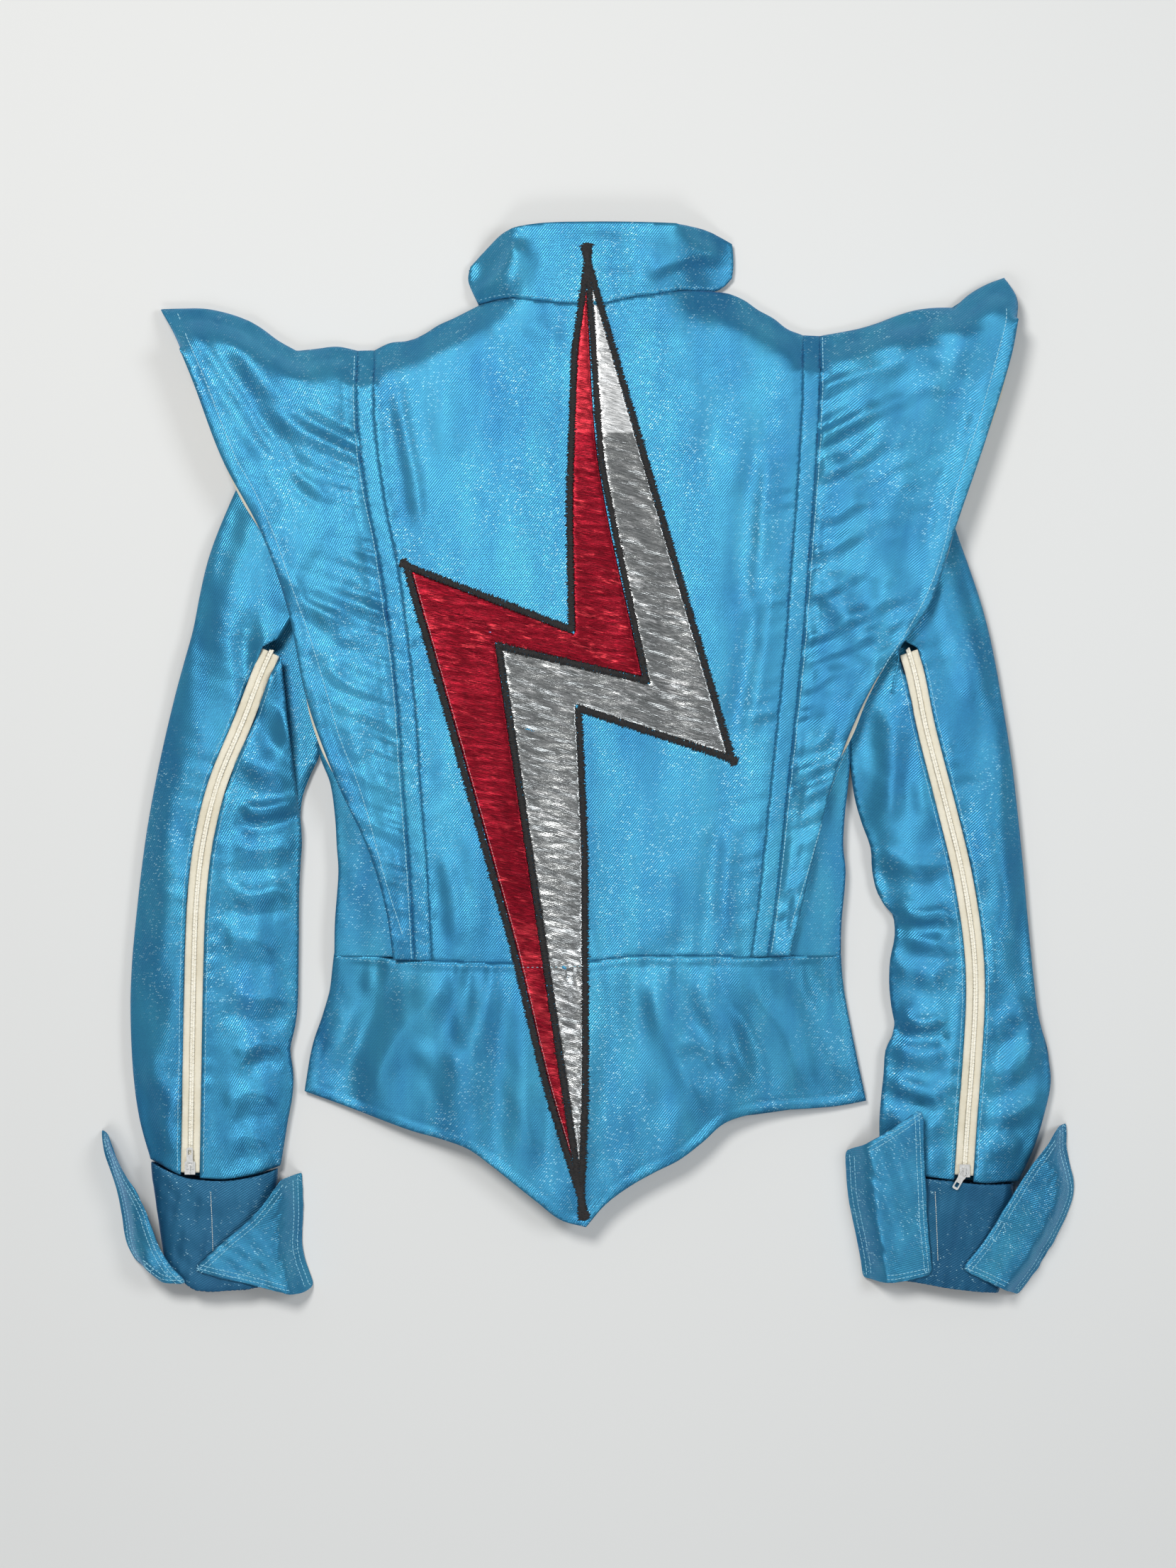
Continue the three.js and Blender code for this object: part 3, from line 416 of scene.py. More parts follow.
def settings(shader, **values):
    """Values on a shader's own sockets: sheen_weight is its Sheen Weight."""
    for name, value in values.items():
        shader.inputs[name.replace("_", " ").title()].default_value = value


def link(tree, a, b):
    tree.links.new(a, b)


def math_node(tree, operation, a, b=None):
    node = tree.nodes.new("ShaderNodeMath")
    node.operation = operation
    for socket, value in zip(node.inputs, (a, b)):
        if value is None:
            continue
        if hasattr(value, "is_linked") or hasattr(value, "links"):
            tree.links.new(value, socket)
        else:
            socket.default_value = value
    return node.outputs[0]


def times(tree, a, b):
    return math_node(tree, "MULTIPLY", a, b)


def plus(tree, a, b):
    return math_node(tree, "ADD", a, b)


def mapped(tree, scale=(1, 1, 1), turn=0.0):
    """The object's own coordinates, in metres, turned about Z and then scaled."""
    coords = tree.nodes.new("ShaderNodeTexCoord")
    spin = tree.nodes.new("ShaderNodeMapping")
    spin.inputs["Rotation"].default_value = (0, 0, math.radians(turn))
    link(tree, coords.outputs["Object"], spin.inputs["Vector"])
    size = tree.nodes.new("ShaderNodeMapping")
    size.inputs["Scale"].default_value = scale
    link(tree, spin.outputs[0], size.inputs["Vector"])
    return size.outputs[0]


def noise_node(tree, vector, scale, detail=3.0, rough=0.55):
    node = tree.nodes.new("ShaderNodeTexNoise")
    node.inputs["Scale"].default_value = scale
    node.inputs["Detail"].default_value = detail
    node.inputs["Roughness"].default_value = rough
    link(tree, vector, node.inputs["Vector"])
    return node.outputs["Fac"]


def mix_colour(tree, share, a, b):
    node = tree.nodes.new("ShaderNodeMix")
    node.data_type = "RGBA"
    for socket, value in ((node.inputs[0], share), (node.inputs[6], a), (node.inputs[7], b)):
        if isinstance(value, tuple):
            socket.default_value = (*value, 1)
        elif isinstance(value, (int, float)):
            socket.default_value = value
        else:
            link(tree, value, socket)
    return node.outputs[2]


def ramp(tree, value, low, high):
    node = tree.nodes.new("ShaderNodeMapRange")
    node.inputs["From Min"].default_value = low
    node.inputs["From Max"].default_value = high
    link(tree, value, node.inputs["Value"])
    return node.outputs[0]


def stripes(tree, pitch, turn):
    """0 to 1 across threads of a pitch in metres that run at an angle."""
    node = tree.nodes.new("ShaderNodeTexWave")
    node.wave_type = "BANDS"
    node.bands_direction = "X"
    node.inputs["Scale"].default_value = 2 * math.pi / (20 * pitch)
    link(tree, mapped(tree, turn=turn), node.inputs["Vector"])
    return node.outputs["Fac"]


def bump(tree, shader, height, strength, distance):
    node = tree.nodes.new("ShaderNodeBump")
    node.inputs["Strength"].default_value = strength
    node.inputs["Distance"].default_value = distance
    link(tree, height, node.inputs["Height"])
    link(tree, node.outputs[0], shader.inputs["Normal"])


def glints(tree, scale, share, turn=0.0):
    """1 in a few scattered cells, 0 elsewhere."""
    node = tree.nodes.new("ShaderNodeTexVoronoi")
    node.inputs["Scale"].default_value = 1
    link(tree, mapped(tree, scale, turn), node.inputs["Vector"])
    split = tree.nodes.new("ShaderNodeSeparateColor")
    link(tree, node.outputs["Color"], split.inputs[0])
    return math_node(tree, "GREATER_THAN", split.outputs[0], 1 - share)


TWILL = 0.0015        # distance between the diagonal ribs of the twill
WEFT = 0.0009         # distance between its cross threads
WARP_AND_SHADE = (0.020, 0.100, 0.260)      # the warp yarn between the ribs, darker and bluer, with painted shade in these hollows
# the same for the deep blue lamé: warp yarn colour with painted shade
DEEP_WARP_AND_SHADE = (0.008, 0.040, 0.110)


def lame(name, dark, light, grain=0.0, metallic=0.55, rough=0.34, glint=0.07, warp=WARP_AND_SHADE):
    """Twill with a metallic weft: diagonal ribs, broken by the weft, with the warp colour and painted shade in
    the hollows between them, long soft streaks along the warp and painted glints on scattered threads."""
    material, tree, shader = nodes_of(name)
    rib = stripes(tree, TWILL, grain + 38)
    weft = stripes(tree, WEFT, grain + 90)
    streak = noise_node(tree, mapped(tree, (55, 9, 55), grain), 1.0, 3.0)
    cloud = noise_node(tree, mapped(tree, (18, 18, 18), grain), 1.0, 2.0)
    slub = noise_node(tree, mapped(tree, (260, 1500, 260), grain), 1.0, 2.0)
    tone = plus(tree, ramp(tree, streak, 0.32, 0.68), ramp(tree, cloud, 0.3, 0.7))
    tone = times(tree, tone, 0.5)
    base = mix_colour(tree, tone, dark, light)
    dash = times(tree, rib, ramp(tree, weft, 0.1, 0.8))
    # painted shade: the hollows between the ribs are mixed towards the warp colour, partly the yarn's own
    # colour
    valley = times(tree, math_node(tree, "SUBTRACT", 1.0, dash), 0.62)
    base = mix_colour(tree, valley, base, warp)
    # painted glints: rare cells on the ribs, in patches, mixed towards pale cyan as if they catch the light
    spark = times(tree, glints(tree, (640, 2000, 640), glint, grain + 8), rib)
    patch = noise_node(tree, mapped(tree, (30, 14, 30), grain), 1.0, 3.0)
    spark = times(tree, spark, ramp(tree, patch, 0.42, 0.64))
    base = mix_colour(tree, times(tree, spark, 0.8), base, (0.55, 0.90, 1.0))
    link(tree, base, shader.inputs["Base Color"])
    link(tree, plus(tree, times(tree, dash, 0.3), metallic - 0.15),
         shader.inputs["Metallic"])
    fine = math_node(tree, "SUBTRACT", times(tree, slub, 0.2), times(tree, dash, 0.1))
    link(tree, plus(tree, fine, rough - 0.05), shader.inputs["Roughness"])
    settings(shader, specular_tint=(0.45, 0.85, 1.0, 1), sheen_weight=0.25, sheen_roughness=0.4,
             sheen_tint=(0.34, 0.50, 1.0, 1))
    height = plus(tree, times(tree, rib, 0.7), times(tree, weft, 0.3))
    height = plus(tree, height, times(tree, slub, 0.5))
    bump(tree, shader, height, 0.5, 0.00035)
    return material


FOIL_JOIN = 0.238     # above this, in metres, a brighter piece of foil is let in
FOIL_TAIL = -0.12     # and below this its painted highlight streaks are a little brighter
TAIL_GLOW = 0.25
FOIL_METALLIC = 0.85


def foil(name, dark, light, glow, rough, top_glow, streak_turn=12.0, bright_from=(0.52, 0.62), top_matte=0.0):
    """Foil cloth: crosswise streaks over a fine rib, some of them painted highlights in the glow colour. The
    piece let in at the top is brighter by top_glow and less metallic by top_matte."""
    material, tree, shader = nodes_of(name)
    fine = noise_node(tree, mapped(tree, (150, 1300, 150), streak_turn), 1.0, 3.0)
    broad = noise_node(tree, mapped(tree, (60, 260, 60), streak_turn), 1.0, 4.0, 0.7)
    patch = noise_node(tree, mapped(tree, (9, 9, 9)), 1.0, 2.0)
    rib = stripes(tree, 0.0011, streak_turn + 90)
    base = mix_colour(tree, ramp(tree, fine, 0.3, 0.7), dark, light)
    # painted highlights: bright streaks, in patches, mixed towards the glow colour
    bright = times(tree, ramp(tree, broad, *bright_from), ramp(tree, patch, 0.3, 0.6))
    place = tree.nodes.new("ShaderNodeSeparateXYZ")
    link(tree, mapped(tree), place.inputs[0])
    worn = times(tree, math_node(tree, "GREATER_THAN", place.outputs[1], FOIL_JOIN),
                     times(tree, ramp(tree, fine, 0.2, 0.7), top_glow))
    low_end = times(tree, math_node(tree, "LESS_THAN", place.outputs[1], FOIL_TAIL), TAIL_GLOW)
    bright = times(tree, bright, ramp(tree, fine, 0.38, 0.6))
    bright = math_node(tree, "MAXIMUM", bright, worn)
    bright = plus(tree, bright, times(tree, low_end, ramp(tree, broad, 0.45, 0.6)))
    base = mix_colour(tree, bright, base, glow)
    link(tree, base, shader.inputs["Base Color"])
    settings(shader, metallic=FOIL_METALLIC, roughness=rough)
    if top_matte:
        link(tree, math_node(tree, "SUBTRACT", FOIL_METALLIC, times(tree, worn, top_matte)),
             shader.inputs["Metallic"])
    height = plus(tree, times(tree, fine, 0.8), times(tree, broad, 1.6))
    height = plus(tree, height, times(tree, rib, 0.25))
    bump(tree, shader, height, 0.5, 0.0004)
    return material


def plain_weave(name, dark, light, pitch=0.0008, rough=0.8, sheen=0.2):
    material, tree, shader = nodes_of(name)
    over = stripes(tree, pitch, 0)
    across = stripes(tree, pitch, 90)
    weave = times(tree, over, across)
    worn = noise_node(tree, mapped(tree, (40, 40, 40)), 1.0, 4.0)
    base = mix_colour(tree, ramp(tree, worn, 0.3, 0.7), dark, light)
    base = mix_colour(tree, times(tree, weave, 0.35), base, tuple(c * 0.7 for c in dark))
    link(tree, base, shader.inputs["Base Color"])
    settings(shader, roughness=rough, sheen_weight=sheen)
    bump(tree, shader, weave, 0.4, 0.0002)
    return material


def thread(name, dark, light, rough=0.55, metallic=0.0, sheen=0.3):
    """Spun thread: fine fibres and a little unevenness of colour."""
    material, tree, shader = nodes_of(name)
    fibre = noise_node(tree, mapped(tree, (2200, 2200, 2200)), 1.0, 2.0)
    tone = noise_node(tree, mapped(tree, (300, 300, 300)), 1.0, 2.0)
    link(tree, mix_colour(tree, ramp(tree, tone, 0.3, 0.7), dark, light), shader.inputs["Base Color"])
    settings(shader, roughness=rough, metallic=metallic, sheen_weight=sheen)
    bump(tree, shader, fibre, 0.4, 0.0001)
    return material


def nickel_plate():
    material, tree, shader = nodes_of("nickel_plate")
    tarnish = noise_node(tree, mapped(tree, (500, 500, 500)), 1.0, 3.0)
    base = mix_colour(tree, ramp(tree, tarnish, 0.35, 0.75), (0.92, 0.91, 0.89), (0.70, 0.69, 0.66))
    link(tree, base, shader.inputs["Base Color"])
    settings(shader, metallic=0.55, roughness=0.3)
    bump(tree, shader, tarnish, 0.15, 0.0001)
    return material


BLUE_DARK, BLUE_LIGHT = (0.024, 0.215, 0.410), (0.080, 0.470, 0.640)
DEEP_DARK, DEEP_LIGHT = (0.008, 0.078, 0.170), (0.018, 0.150, 0.270)
blue = lame("blue_lame", BLUE_DARK, BLUE_LIGHT)
wing_blue = {s: lame("blue_lame_wing_" + s, BLUE_DARK, BLUE_LIGHT, grain)
             for s, grain in (("left", -12), ("right", 12))}
sleeve_blue = {s: lame("blue_lame_sleeve_" + s, BLUE_DARK, (0.066, 0.43, 0.60), grain, rough=0.31)
               for s, grain in (("left", -8), ("right", 8))}
deep_blue = lame("deep_blue_lame", DEEP_DARK, DEEP_LIGHT, 20, metallic=0.35, rough=0.42, glint=0.03,
                 warp=DEEP_WARP_AND_SHADE)
cuff_blue = lame("blue_lame_cuff", (0.022, 0.190, 0.350), (0.060, 0.370, 0.510), 35)
lining = plain_weave("blue_lining", (0.012, 0.075, 0.17), (0.022, 0.11, 0.23), rough=0.6, sheen=0.4)
cream = plain_weave("cream_cotton", (0.66, 0.60, 0.46), (0.80, 0.75, 0.62))
coil = thread("cream_coil", (0.80, 0.75, 0.62), (0.90, 0.86, 0.75), rough=0.42)
red_foil = foil("red_foil", (0.085, 0.0005, 0.005), (0.26, 0.002, 0.013), (0.85, 0.06, 0.08), 0.36, 0.35,
                bright_from=(0.56, 0.67))
silver_foil = foil("silver_foil", (0.17, 0.18, 0.18), (0.42, 0.43, 0.43), (1.0, 1.0, 1.0), 0.22, 1.0,
                   streak_turn=16, top_matte=0.6)
black_thread = thread("black_thread", (0.005, 0.004, 0.004), (0.014, 0.011, 0.011), rough=0.7, sheen=0.03)
blue_thread = thread("blue_thread", (0.22, 0.55, 0.70), (0.36, 0.68, 0.80))
pale_thread = thread("pale_thread", (0.50, 0.55, 0.52), (0.66, 0.70, 0.66))
pink_thread = thread("pink_thread", (0.60, 0.20, 0.24), (0.80, 0.42, 0.42))
nickel = nickel_plate()


# ---------- cloth shapes: what is added to the CAD surface, in millimetres ----------
# Each fold is a line in the pattern, its height, its width, the depth of the trough beside it as a share of
# the height and, where it has one, its skew. A negative height is a valley.
CENTRE_FOLDS = [
    ([(-140, 285), (-132, 240), (-124, 200), (-121, 165)], 1.6, 6, 0.4, 0.3),
    ([(-110, 290), (-104, 250), (-100, 215)], 1.1, 10, 0.2),
    ([(-60, 310), (-66, 270), (-72, 225)], 0.9, 12, 0),
    ([(132, 235), (128, 190), (124, 140), (120, 100)], 1.8, 8, 0.5, -0.3),
    ([(112, 265), (108, 225), (104, 190)], 1.2, 11, 0.2),
    ([(140, 160), (132, 110), (124, 60), (112, 0)], 1.5, 7, 0.5),
    ([(80, 285), (74, 250), (72, 220)], 0.9, 12, 0),
    ([(-104, -60), (-98, -95), (-96, -135)], 1.4, 7, 0.5),
    ([(-84, -40), (-82, -90), (-84, -138)], 0.9, 9, 0.3),
    ([(104, -40), (100, -90), (98, -135)], 1.3, 7, 0.5),
    ([(60, -60), (62, -100), (58, -136)], 0.9, 12, 0.2),
    ([(-110, 40), (-60, 52), (-20, 46)], 0.6, 14, 0),
    ([(-70, 322), (-40, 318), (-18, 306)], 0.8, 8, 0.4),
    ([(20, 314), (50, 322), (78, 318)], 0.8, 9, 0.4),
]
LEFT_WING_FOLDS = [
    ([(-284, 330), (-268, 300), (-243, 262), (-222, 228), (-206, 196), (-192, 184)], -3.4, 8, -0.8, -0.3),
    ([(-262, 322), (-240, 286), (-216, 250), (-200, 228)], 1.8, 10, 0),
    ([(-226, 236), (-208, 208), (-190, 194), (-180, 196)], 1.6, 5, 0.6, 0.3),
    ([(-232, 300), (-212, 280), (-196, 272)], 1.3, 7, 0.3),
    ([(-216, 140), (-206, 118), (-190, 108), (-172, 108)], 2.0, 6, 0.7, 0.4),
    ([(-196, 120), (-180, 96), (-166, 84)], 1.2, 6, 0.4),
    ([(-192, 80), (-180, 62), (-160, 52), (-146, 50)], 1.4, 5, 0.5),
    ([(-180, 60), (-170, 20), (-160, -10)], 1.0, 7, 0.2),
    ([(-166, 20), (-156, -30), (-148, -80), (-140, -128)], 1.1, 6, 0.3),
    ([(-152, 30), (-144, -20), (-136, -70)], 0.9, 5, 0.3),
    ([(-172, 168), (-164, 130), (-158, 90)], 1.0, 6, 0.3),
    ([(-200, 304), (-190, 292), (-172, 286)], 1.0, 6, 0.3),
]
RIGHT_WING_FOLDS = [
    ([(293, 300), (276, 262), (262, 222), (250, 190), (243, 152), (240, 118)], -3.0, 8, -0.8, 0.3),
    ([(280, 318), (262, 286), (250, 262)], 1.6, 9, 0),
    ([(160, 268), (184, 278), (212, 286), (236, 300)], 1.8, 7, 0.6, 0.3),
    ([(162, 238), (186, 246), (210, 262)], 1.5, 6, 0.5),
    ([(160, 214), (182, 216), (206, 234), (220, 250)], 1.6, 6, 0.5, 0.3),
    ([(158, 180), (178, 180), (200, 196)], 1.4, 6, 0.5),
    ([(156, 150), (176, 152), (196, 172)], 1.6, 6, 0.6, 0.3),
    ([(154, 124), (172, 122), (192, 140)], 1.2, 5, 0.5),
    ([(152, 92), (172, 92), (196, 112)], 1.4, 6, 0.5, 0.3),
    ([(224, 150), (210, 120), (200, 92)], 1.2, 7, 0.3),
    ([(146, 54), (162, 56), (180, 72)], 1.0, 5, 0.5),
    ([(140, 0), (156, 4), (170, 18)], 0.9, 5, 0.4),
    ([(178, 60), (168, 10), (158, -40), (148, -90)], 1.2, 6, 0.4),
    ([(160, 10), (150, -50), (140, -110)], 1.0, 5, 0.4),
    ([(236, 210), (222, 190), (206, 186)], 1.0, 6, 0.3),
]
PEPLUM_FOLDS = [
    ([(-96, -146), (-120, -176), (-150, -214), (-160, -250)], 3.2, 13, 0.5, 0.1),
    ([(-66, -146), (-78, -180), (-92, -220), (-96, -262)], 2.4, 12, 0.5),
    ([(-150, -146), (-168, -180), (-186, -222)], 2.4, 12, 0.4),
    ([(-44, -150), (-48, -190), (-46, -240), (-40, -300)], 1.6, 11, 0.4),
    ([(-20, -160), (-22, -220), (-14, -300)], 1.0, 10, 0.2),
    ([(20, -146), (26, -190), (22, -240), (14, -290)], 1.4, 11, 0.4),
    ([(44, -144), (52, -176), (70, -216), (82, -262)], 2.8, 12, 0.5),
    ([(84, -142), (86, -168), (104, -196), (118, -240)], 2.8, 11, 0.6, 0.2),
    ([(112, -144), (122, -170), (146, -200), (160, -244)], 2.4, 12, 0.5),
    ([(152, -146), (160, -176), (176, -214), (190, -240)], 2.4, 11, 0.4),
    ([(66, -196), (86, -204), (104, -222)], 1.4, 8, 0.4),
    ([(-136, -200), (-112, -214), (-86, -214)], 1.2, 9, 0.3),
]
COLLAR_FOLDS = [
    ([(-90, 338), (-72, 348), (-58, 362), (-49, 384)], 6.0, 9, 0.25, 0.35),
    ([(-72, 338), (-52, 350), (-38, 372)], 2.2, 8, 0.1),
    ([(34, 354), (58, 362), (82, 371), (106, 373)], 5.0, 9, 0.2, -0.35),
    ([(56, 388), (78, 380), (98, 362)], 2.4, 8, 0),
    ([(-30, 374), (0, 378), (30, 374)], 1.0, 9, 0),
    ([(-36, 348), (-10, 354), (20, 352), (44, 350)], 0.8, 8, 0),
]
LEFT_SLEEVE_FOLDS = [
    ([(-226, 112), (-233, 86), (-231, 58), (-222, 30), (-210, 4)], 3.6, 7, 0.9, 0.3),
    ([(-208, 60), (-214, 30), (-212, 6)], 2.4, 6, 0.6),
    ([(-256, -30), (-240, -34), (-222, -30), (-208, -24)], 3.0, 5, 0.9, 0.2),
    ([(-262, 10), (-246, 0), (-226, -6), (-206, -14)], 2.0, 7, 0.6),
    ([(-260, -60), (-240, -64), (-222, -60), (-210, -62)], 1.8, 6, 0.6),
    ([(-264, -88), (-246, -96), (-226, -92), (-212, -98)], 2.4, 6, 0.7, 0.2),
    ([(-268, -130), (-244, -128), (-222, -136)], 1.8, 7, 0.6),
    ([(-262, -164), (-242, -172), (-218, -168)], 1.8, 6, 0.6),
    ([(-258, -214), (-238, -204), (-220, -206)], 2.4, 5, 0.8),
    ([(-266, -250), (-246, -240), (-224, -244)], 2.0, 6, 0.6),
    ([(-268, -280), (-250, -272), (-230, -276)], 1.6, 5, 0.6),
    ([(-262, 190), (-276, 140), (-288, 90), (-300, 40)], 2.0, 9, 0.5),
    ([(-238, 196), (-252, 150), (-262, 110), (-272, 60)], 1.8, 9, 0.5),
    ([(-300, 20), (-306, -50), (-312, -120), (-316, -190)], 1.8, 9, 0.4),
    ([(-296, -60), (-300, -130), (-302, -200)], 1.2, 8, 0.4),
    ([(-326, -214), (-312, -230), (-298, -262)], 1.8, 7, 0.5),
    ([(-322, -250), (-308, -262), (-298, -286)], 1.5, 6, 0.5),
    ([(-244, 60), (-238, 20), (-240, -20)], 1.4, 7, 0.4),
]
RIGHT_SLEEVE_FOLDS = [
    ([(214, 52), (222, 20), (222, -20), (214, -52)], 2.2, 7, 0.6),
    ([(232, 70), (236, 30), (240, -10), (246, -50)], 1.4, 7, 0.4),
    ([(206, -60), (222, -70), (244, -74), (262, -70)], 2.0, 6, 0.6),
    ([(222, -104), (236, -110), (256, -108), (270, -116)], 3.0, 5, 0.9, 0.2),
    ([(226, -122), (240, -128), (262, -132)], 1.8, 5, 0.6),
    ([(222, -154), (238, -150), (260, -158)], 1.6, 6, 0.5),
    ([(224, -182), (240, -188), (262, -184)], 2.6, 5, 0.9, 0.2),
    ([(220, -206), (238, -212), (262, -210)], 1.8, 6, 0.6),
    ([(216, -232), (236, -236), (262, -244)], 2.2, 5, 0.7),
    ([(216, -258), (236, -264), (262, -262)], 1.8, 6, 0.6),
    ([(256, 180), (270, 130), (280, 80), (290, 30)], 2.2, 9, 0.5),
    ([(236, 200), (250, 150), (262, 100), (270, 50)], 1.8, 9, 0.5),
    ([(292, 60), (298, 0), (302, -70), (306, -130)], 2.2, 8, 0.5),
    ([(276, 20), (286, -40), (292, -100)], 1.4, 8, 0.4),
    ([(330, -196), (314, -214), (300, -230)], 2.2, 7, 0.6),
    ([(322, -170), (306, -186), (292, -196)], 1.6, 7, 0.5),
    ([(334, -240), (316, -250), (292, -262)], 2.0, 7, 0.6),
    ([(318, -280), (300, -276), (286, -284)], 1.4, 6, 0.5),
]


def folded(table, strength=1.0, breadth=1.0):
    def shape(xy, away):
        total = np.zeros(len(xy))
        for points, height, width, *lean in table:
            total += fold(xy, points, strength * height, breadth * width, *lean)
        return total
    return shape


def added(*shapes):
    """The sum of shapes."""
    return lambda xy, away: sum(shape(xy, away) for shape in shapes)


def swell(seed, height, length, direction=0.0, spread=0.5):
    return lambda xy, away: height * waves(xy, seed, length, direction, spread) * smooth(away / 8)


def turned_hem(width=10.0, height=0.35):
    """The doubled cloth along a free edge, with a stitch line pressed in."""
    def shape(xy, away):
        return height * smooth((width - away) / 1.5) - 0.6 * np.exp(-(((away - width + 1) / 1.2) ** 2))
    return shape


def ripples(points, side, reach, pitch, height, seed, slant=0.0, start=0.0, end=1.0):
    return lambda xy, away: pucker(xy, points, side, reach, pitch, height, seed, slant, start, end)


LEFT_SEAM = [(-156, 302), (-155, 245), (-149, 198), (-141, 160), (-134, 111), (-127.5, 63), (-122, -15),
             (-117, -78), (-113.5, -143)]
RIGHT_SEAM = [(157, 313), (154, 233), (149, 164), (143, 85), (133, -11), (122, -114), (118, -140)]
LEFT_BAND = [(-168, 302), (-167, 245), (-161, 198), (-153, 160), (-146, 111), (-139.5, 63), (-134, -15),
             (-129, -78), (-125.5, -142)]
RIGHT_BAND = [(169, 313), (166, 233), (161, 164), (155, 85), (145, -11), (134, -114), (130, -139)]
WAIST = [(-185, -138), (-144, -141.5), (-113.5, -143), (-57, -144.5), (0, -143.5), (25, -139.5), (79, -139),
         (118, -140), (184, -138)]
LEFT_ZIP = [(-186, 165), (-205, 125), (-231, 80), (-251, 30), (-269, -14), (-279.5, -57), (-284.5, -100),
            (-286.5, -154), (-287.8, -225), (-289, -298)]
RIGHT_ZIP = [(186, 165), (212, 122), (233, 81), (246, 24), (260.5, -32), (272, -80), (279.5, -128),
             (281.5, -165), (279, -217), (276, -256), (273, -300)]
NECK = [(-80, 335), (-60, 338), (-40, 336), (-22, 334), (12, 334), (32, 338), (54, 341), (69, 343.5),
        (92, 344.5)]


def sunk(shape, least):
    """Only the valleys of a shape, and least more, for a layer that lies under it."""
    return lambda xy, away: np.minimum(shape(xy, away), 0) - least


def back():
    centre_shape = added(
        folded(CENTRE_FOLDS, 1.4), swell(3, 0.5, 70, 0, 0.35), swell(4, 0.12, 26, 10, 0.6),
        ripples(LEFT_SEAM, 1, 14, 16, 0.9, 11, 0.5), ripples(RIGHT_SEAM, -1, 16, 14, 1.0, 12, -0.4),
        ripples(NECK, -1, 12, 18, 0.7, 13), ripples(WAIST, 1, 14, 17, 0.8, 14))
    cloth("back_centre_panel", blue, shape=centre_shape)
    for side, sign in (("left", -1), ("right", 1)):
        seam = LEFT_SEAM if sign < 0 else RIGHT_SEAM
        band_shape = added(ripples(seam, -sign, 30, 7, 0.5, 21 + sign, 1.2), swell(5, 0.25, 18, 80, 0.4))
        cloth("seam_band_" + side, wing_blue[side], shape=band_shape)
        cloth("back_side_panel_" + side, blue, shape=swell(7 + sign, 0.35, 30, 20), tuck=4.5)


def wing_shape(folds, band, sign, reach, height, seed):
    """The folds and swell of a wing, its hem, and ripples that run out of its band's seam."""
    return added(
        folded(folds), swell(seed, 0.9, 50, 35 * sign, 0.4), swell(seed + 1, 0.14, 17, 60 * sign, 0.5),
        turned_hem(), ripples(band, sign, reach, 20, height, seed + 2, 0.55, 0.02, 0.98),
        ripples(band, sign, 14, 8, 1.0, 38 + (sign > 0), 0.4))


def wings():
    left = wing_shape(LEFT_WING_FOLDS, LEFT_BAND, -1, 40, 3.0, 31)
    right = wing_shape(RIGHT_WING_FOLDS, RIGHT_BAND, 1, 42, 3.2, 34)
    for side, shape in (("left", left), ("right", right)):
        cloth("wing_back_" + side, wing_blue[side], shape=shape, dip=0.9)
        cloth("wing_front_" + side, wing_blue[side], PLAIN, floor=1.7,
              shape=sunk(shape, 0.6))
        cloth("wing_stiffener_" + side, cream, 3.5, 1.0,
              shape=sunk(shape, 0.5))


def peplum():
    shape = added(
        folded(PEPLUM_FOLDS, 1.5), swell(41, 1.1, 52, 5, 0.4), swell(42, 0.15, 22, 15, 0.5), turned_hem(8),
        ripples(WAIST, -1, 20, 13, 1.7, 43))
    cloth("back_peplum", blue, shape=shape)


def stand_collar():
    shape = added(folded(COLLAR_FOLDS), swell(51, 0.35, 34, 80, 0.5), ripples(NECK, 1, 10, 13, 0.8, 52))
    cloth("collar_outer", blue, shape=shape)
    cloth("collar_facing", lining, PLAIN, 1.0, shape=sunk(shape, 0.7))


def front():
    for side in ("left", "right"):
        for node in ("front_panel_", "front_peplum_", "collar_front_"):
            cloth(node + side, blue, PLAIN, shape=swell(61, 0.3, 40), floor=1.7)
        cloth("front_side_panel_" + side, blue, PLAIN, shape=swell(62, 0.3, 40))
        cloth("front_lining_" + side, lining, PLAIN, 1.0, shape=swell(63, 0.25, 30))
    cloth("back_lining", lining, PLAIN, 1.0, shape=swell(64, 0.3, 36))


def sleeves():
    for side, table, zip_line, sign in (("left", LEFT_SLEEVE_FOLDS, LEFT_ZIP, -1),
                                        ("right", RIGHT_SLEEVE_FOLDS, RIGHT_ZIP, 1)):
        for part, way in (("outer", sign), ("inner", -sign)):
            shape = added(
                folded(table, 1.4, 1.3), swell(70 + sign, 0.8, 40, 0, 0.5),
                swell(72 + sign, 0.13, 18, 30, 0.6), ripples(zip_line, way, 16, 15, 0.9, 74 + sign + way))
            cloth(f"sleeve_{part}_panel_{side}", sleeve_blue[side], shape=shape)
        cloth("sleeve_under_panel_" + side, sleeve_blue[side], PLAIN, shape=swell(76, 0.3, 40))


def cuffs():
    for side in ("left", "right"):
        rumpled("cuff_band_" + side, deep_blue, "jacket", 0.45, 91)
        for which, seed in (("outer", 81), ("inner", 82)):
            rumpled(f"cuff_{which}_wing_{side}", cuff_blue, f"{which}_wing_{side}", 0.55, seed)


CUFFS = {}            # node -> (points, triangles) of a cuff piece


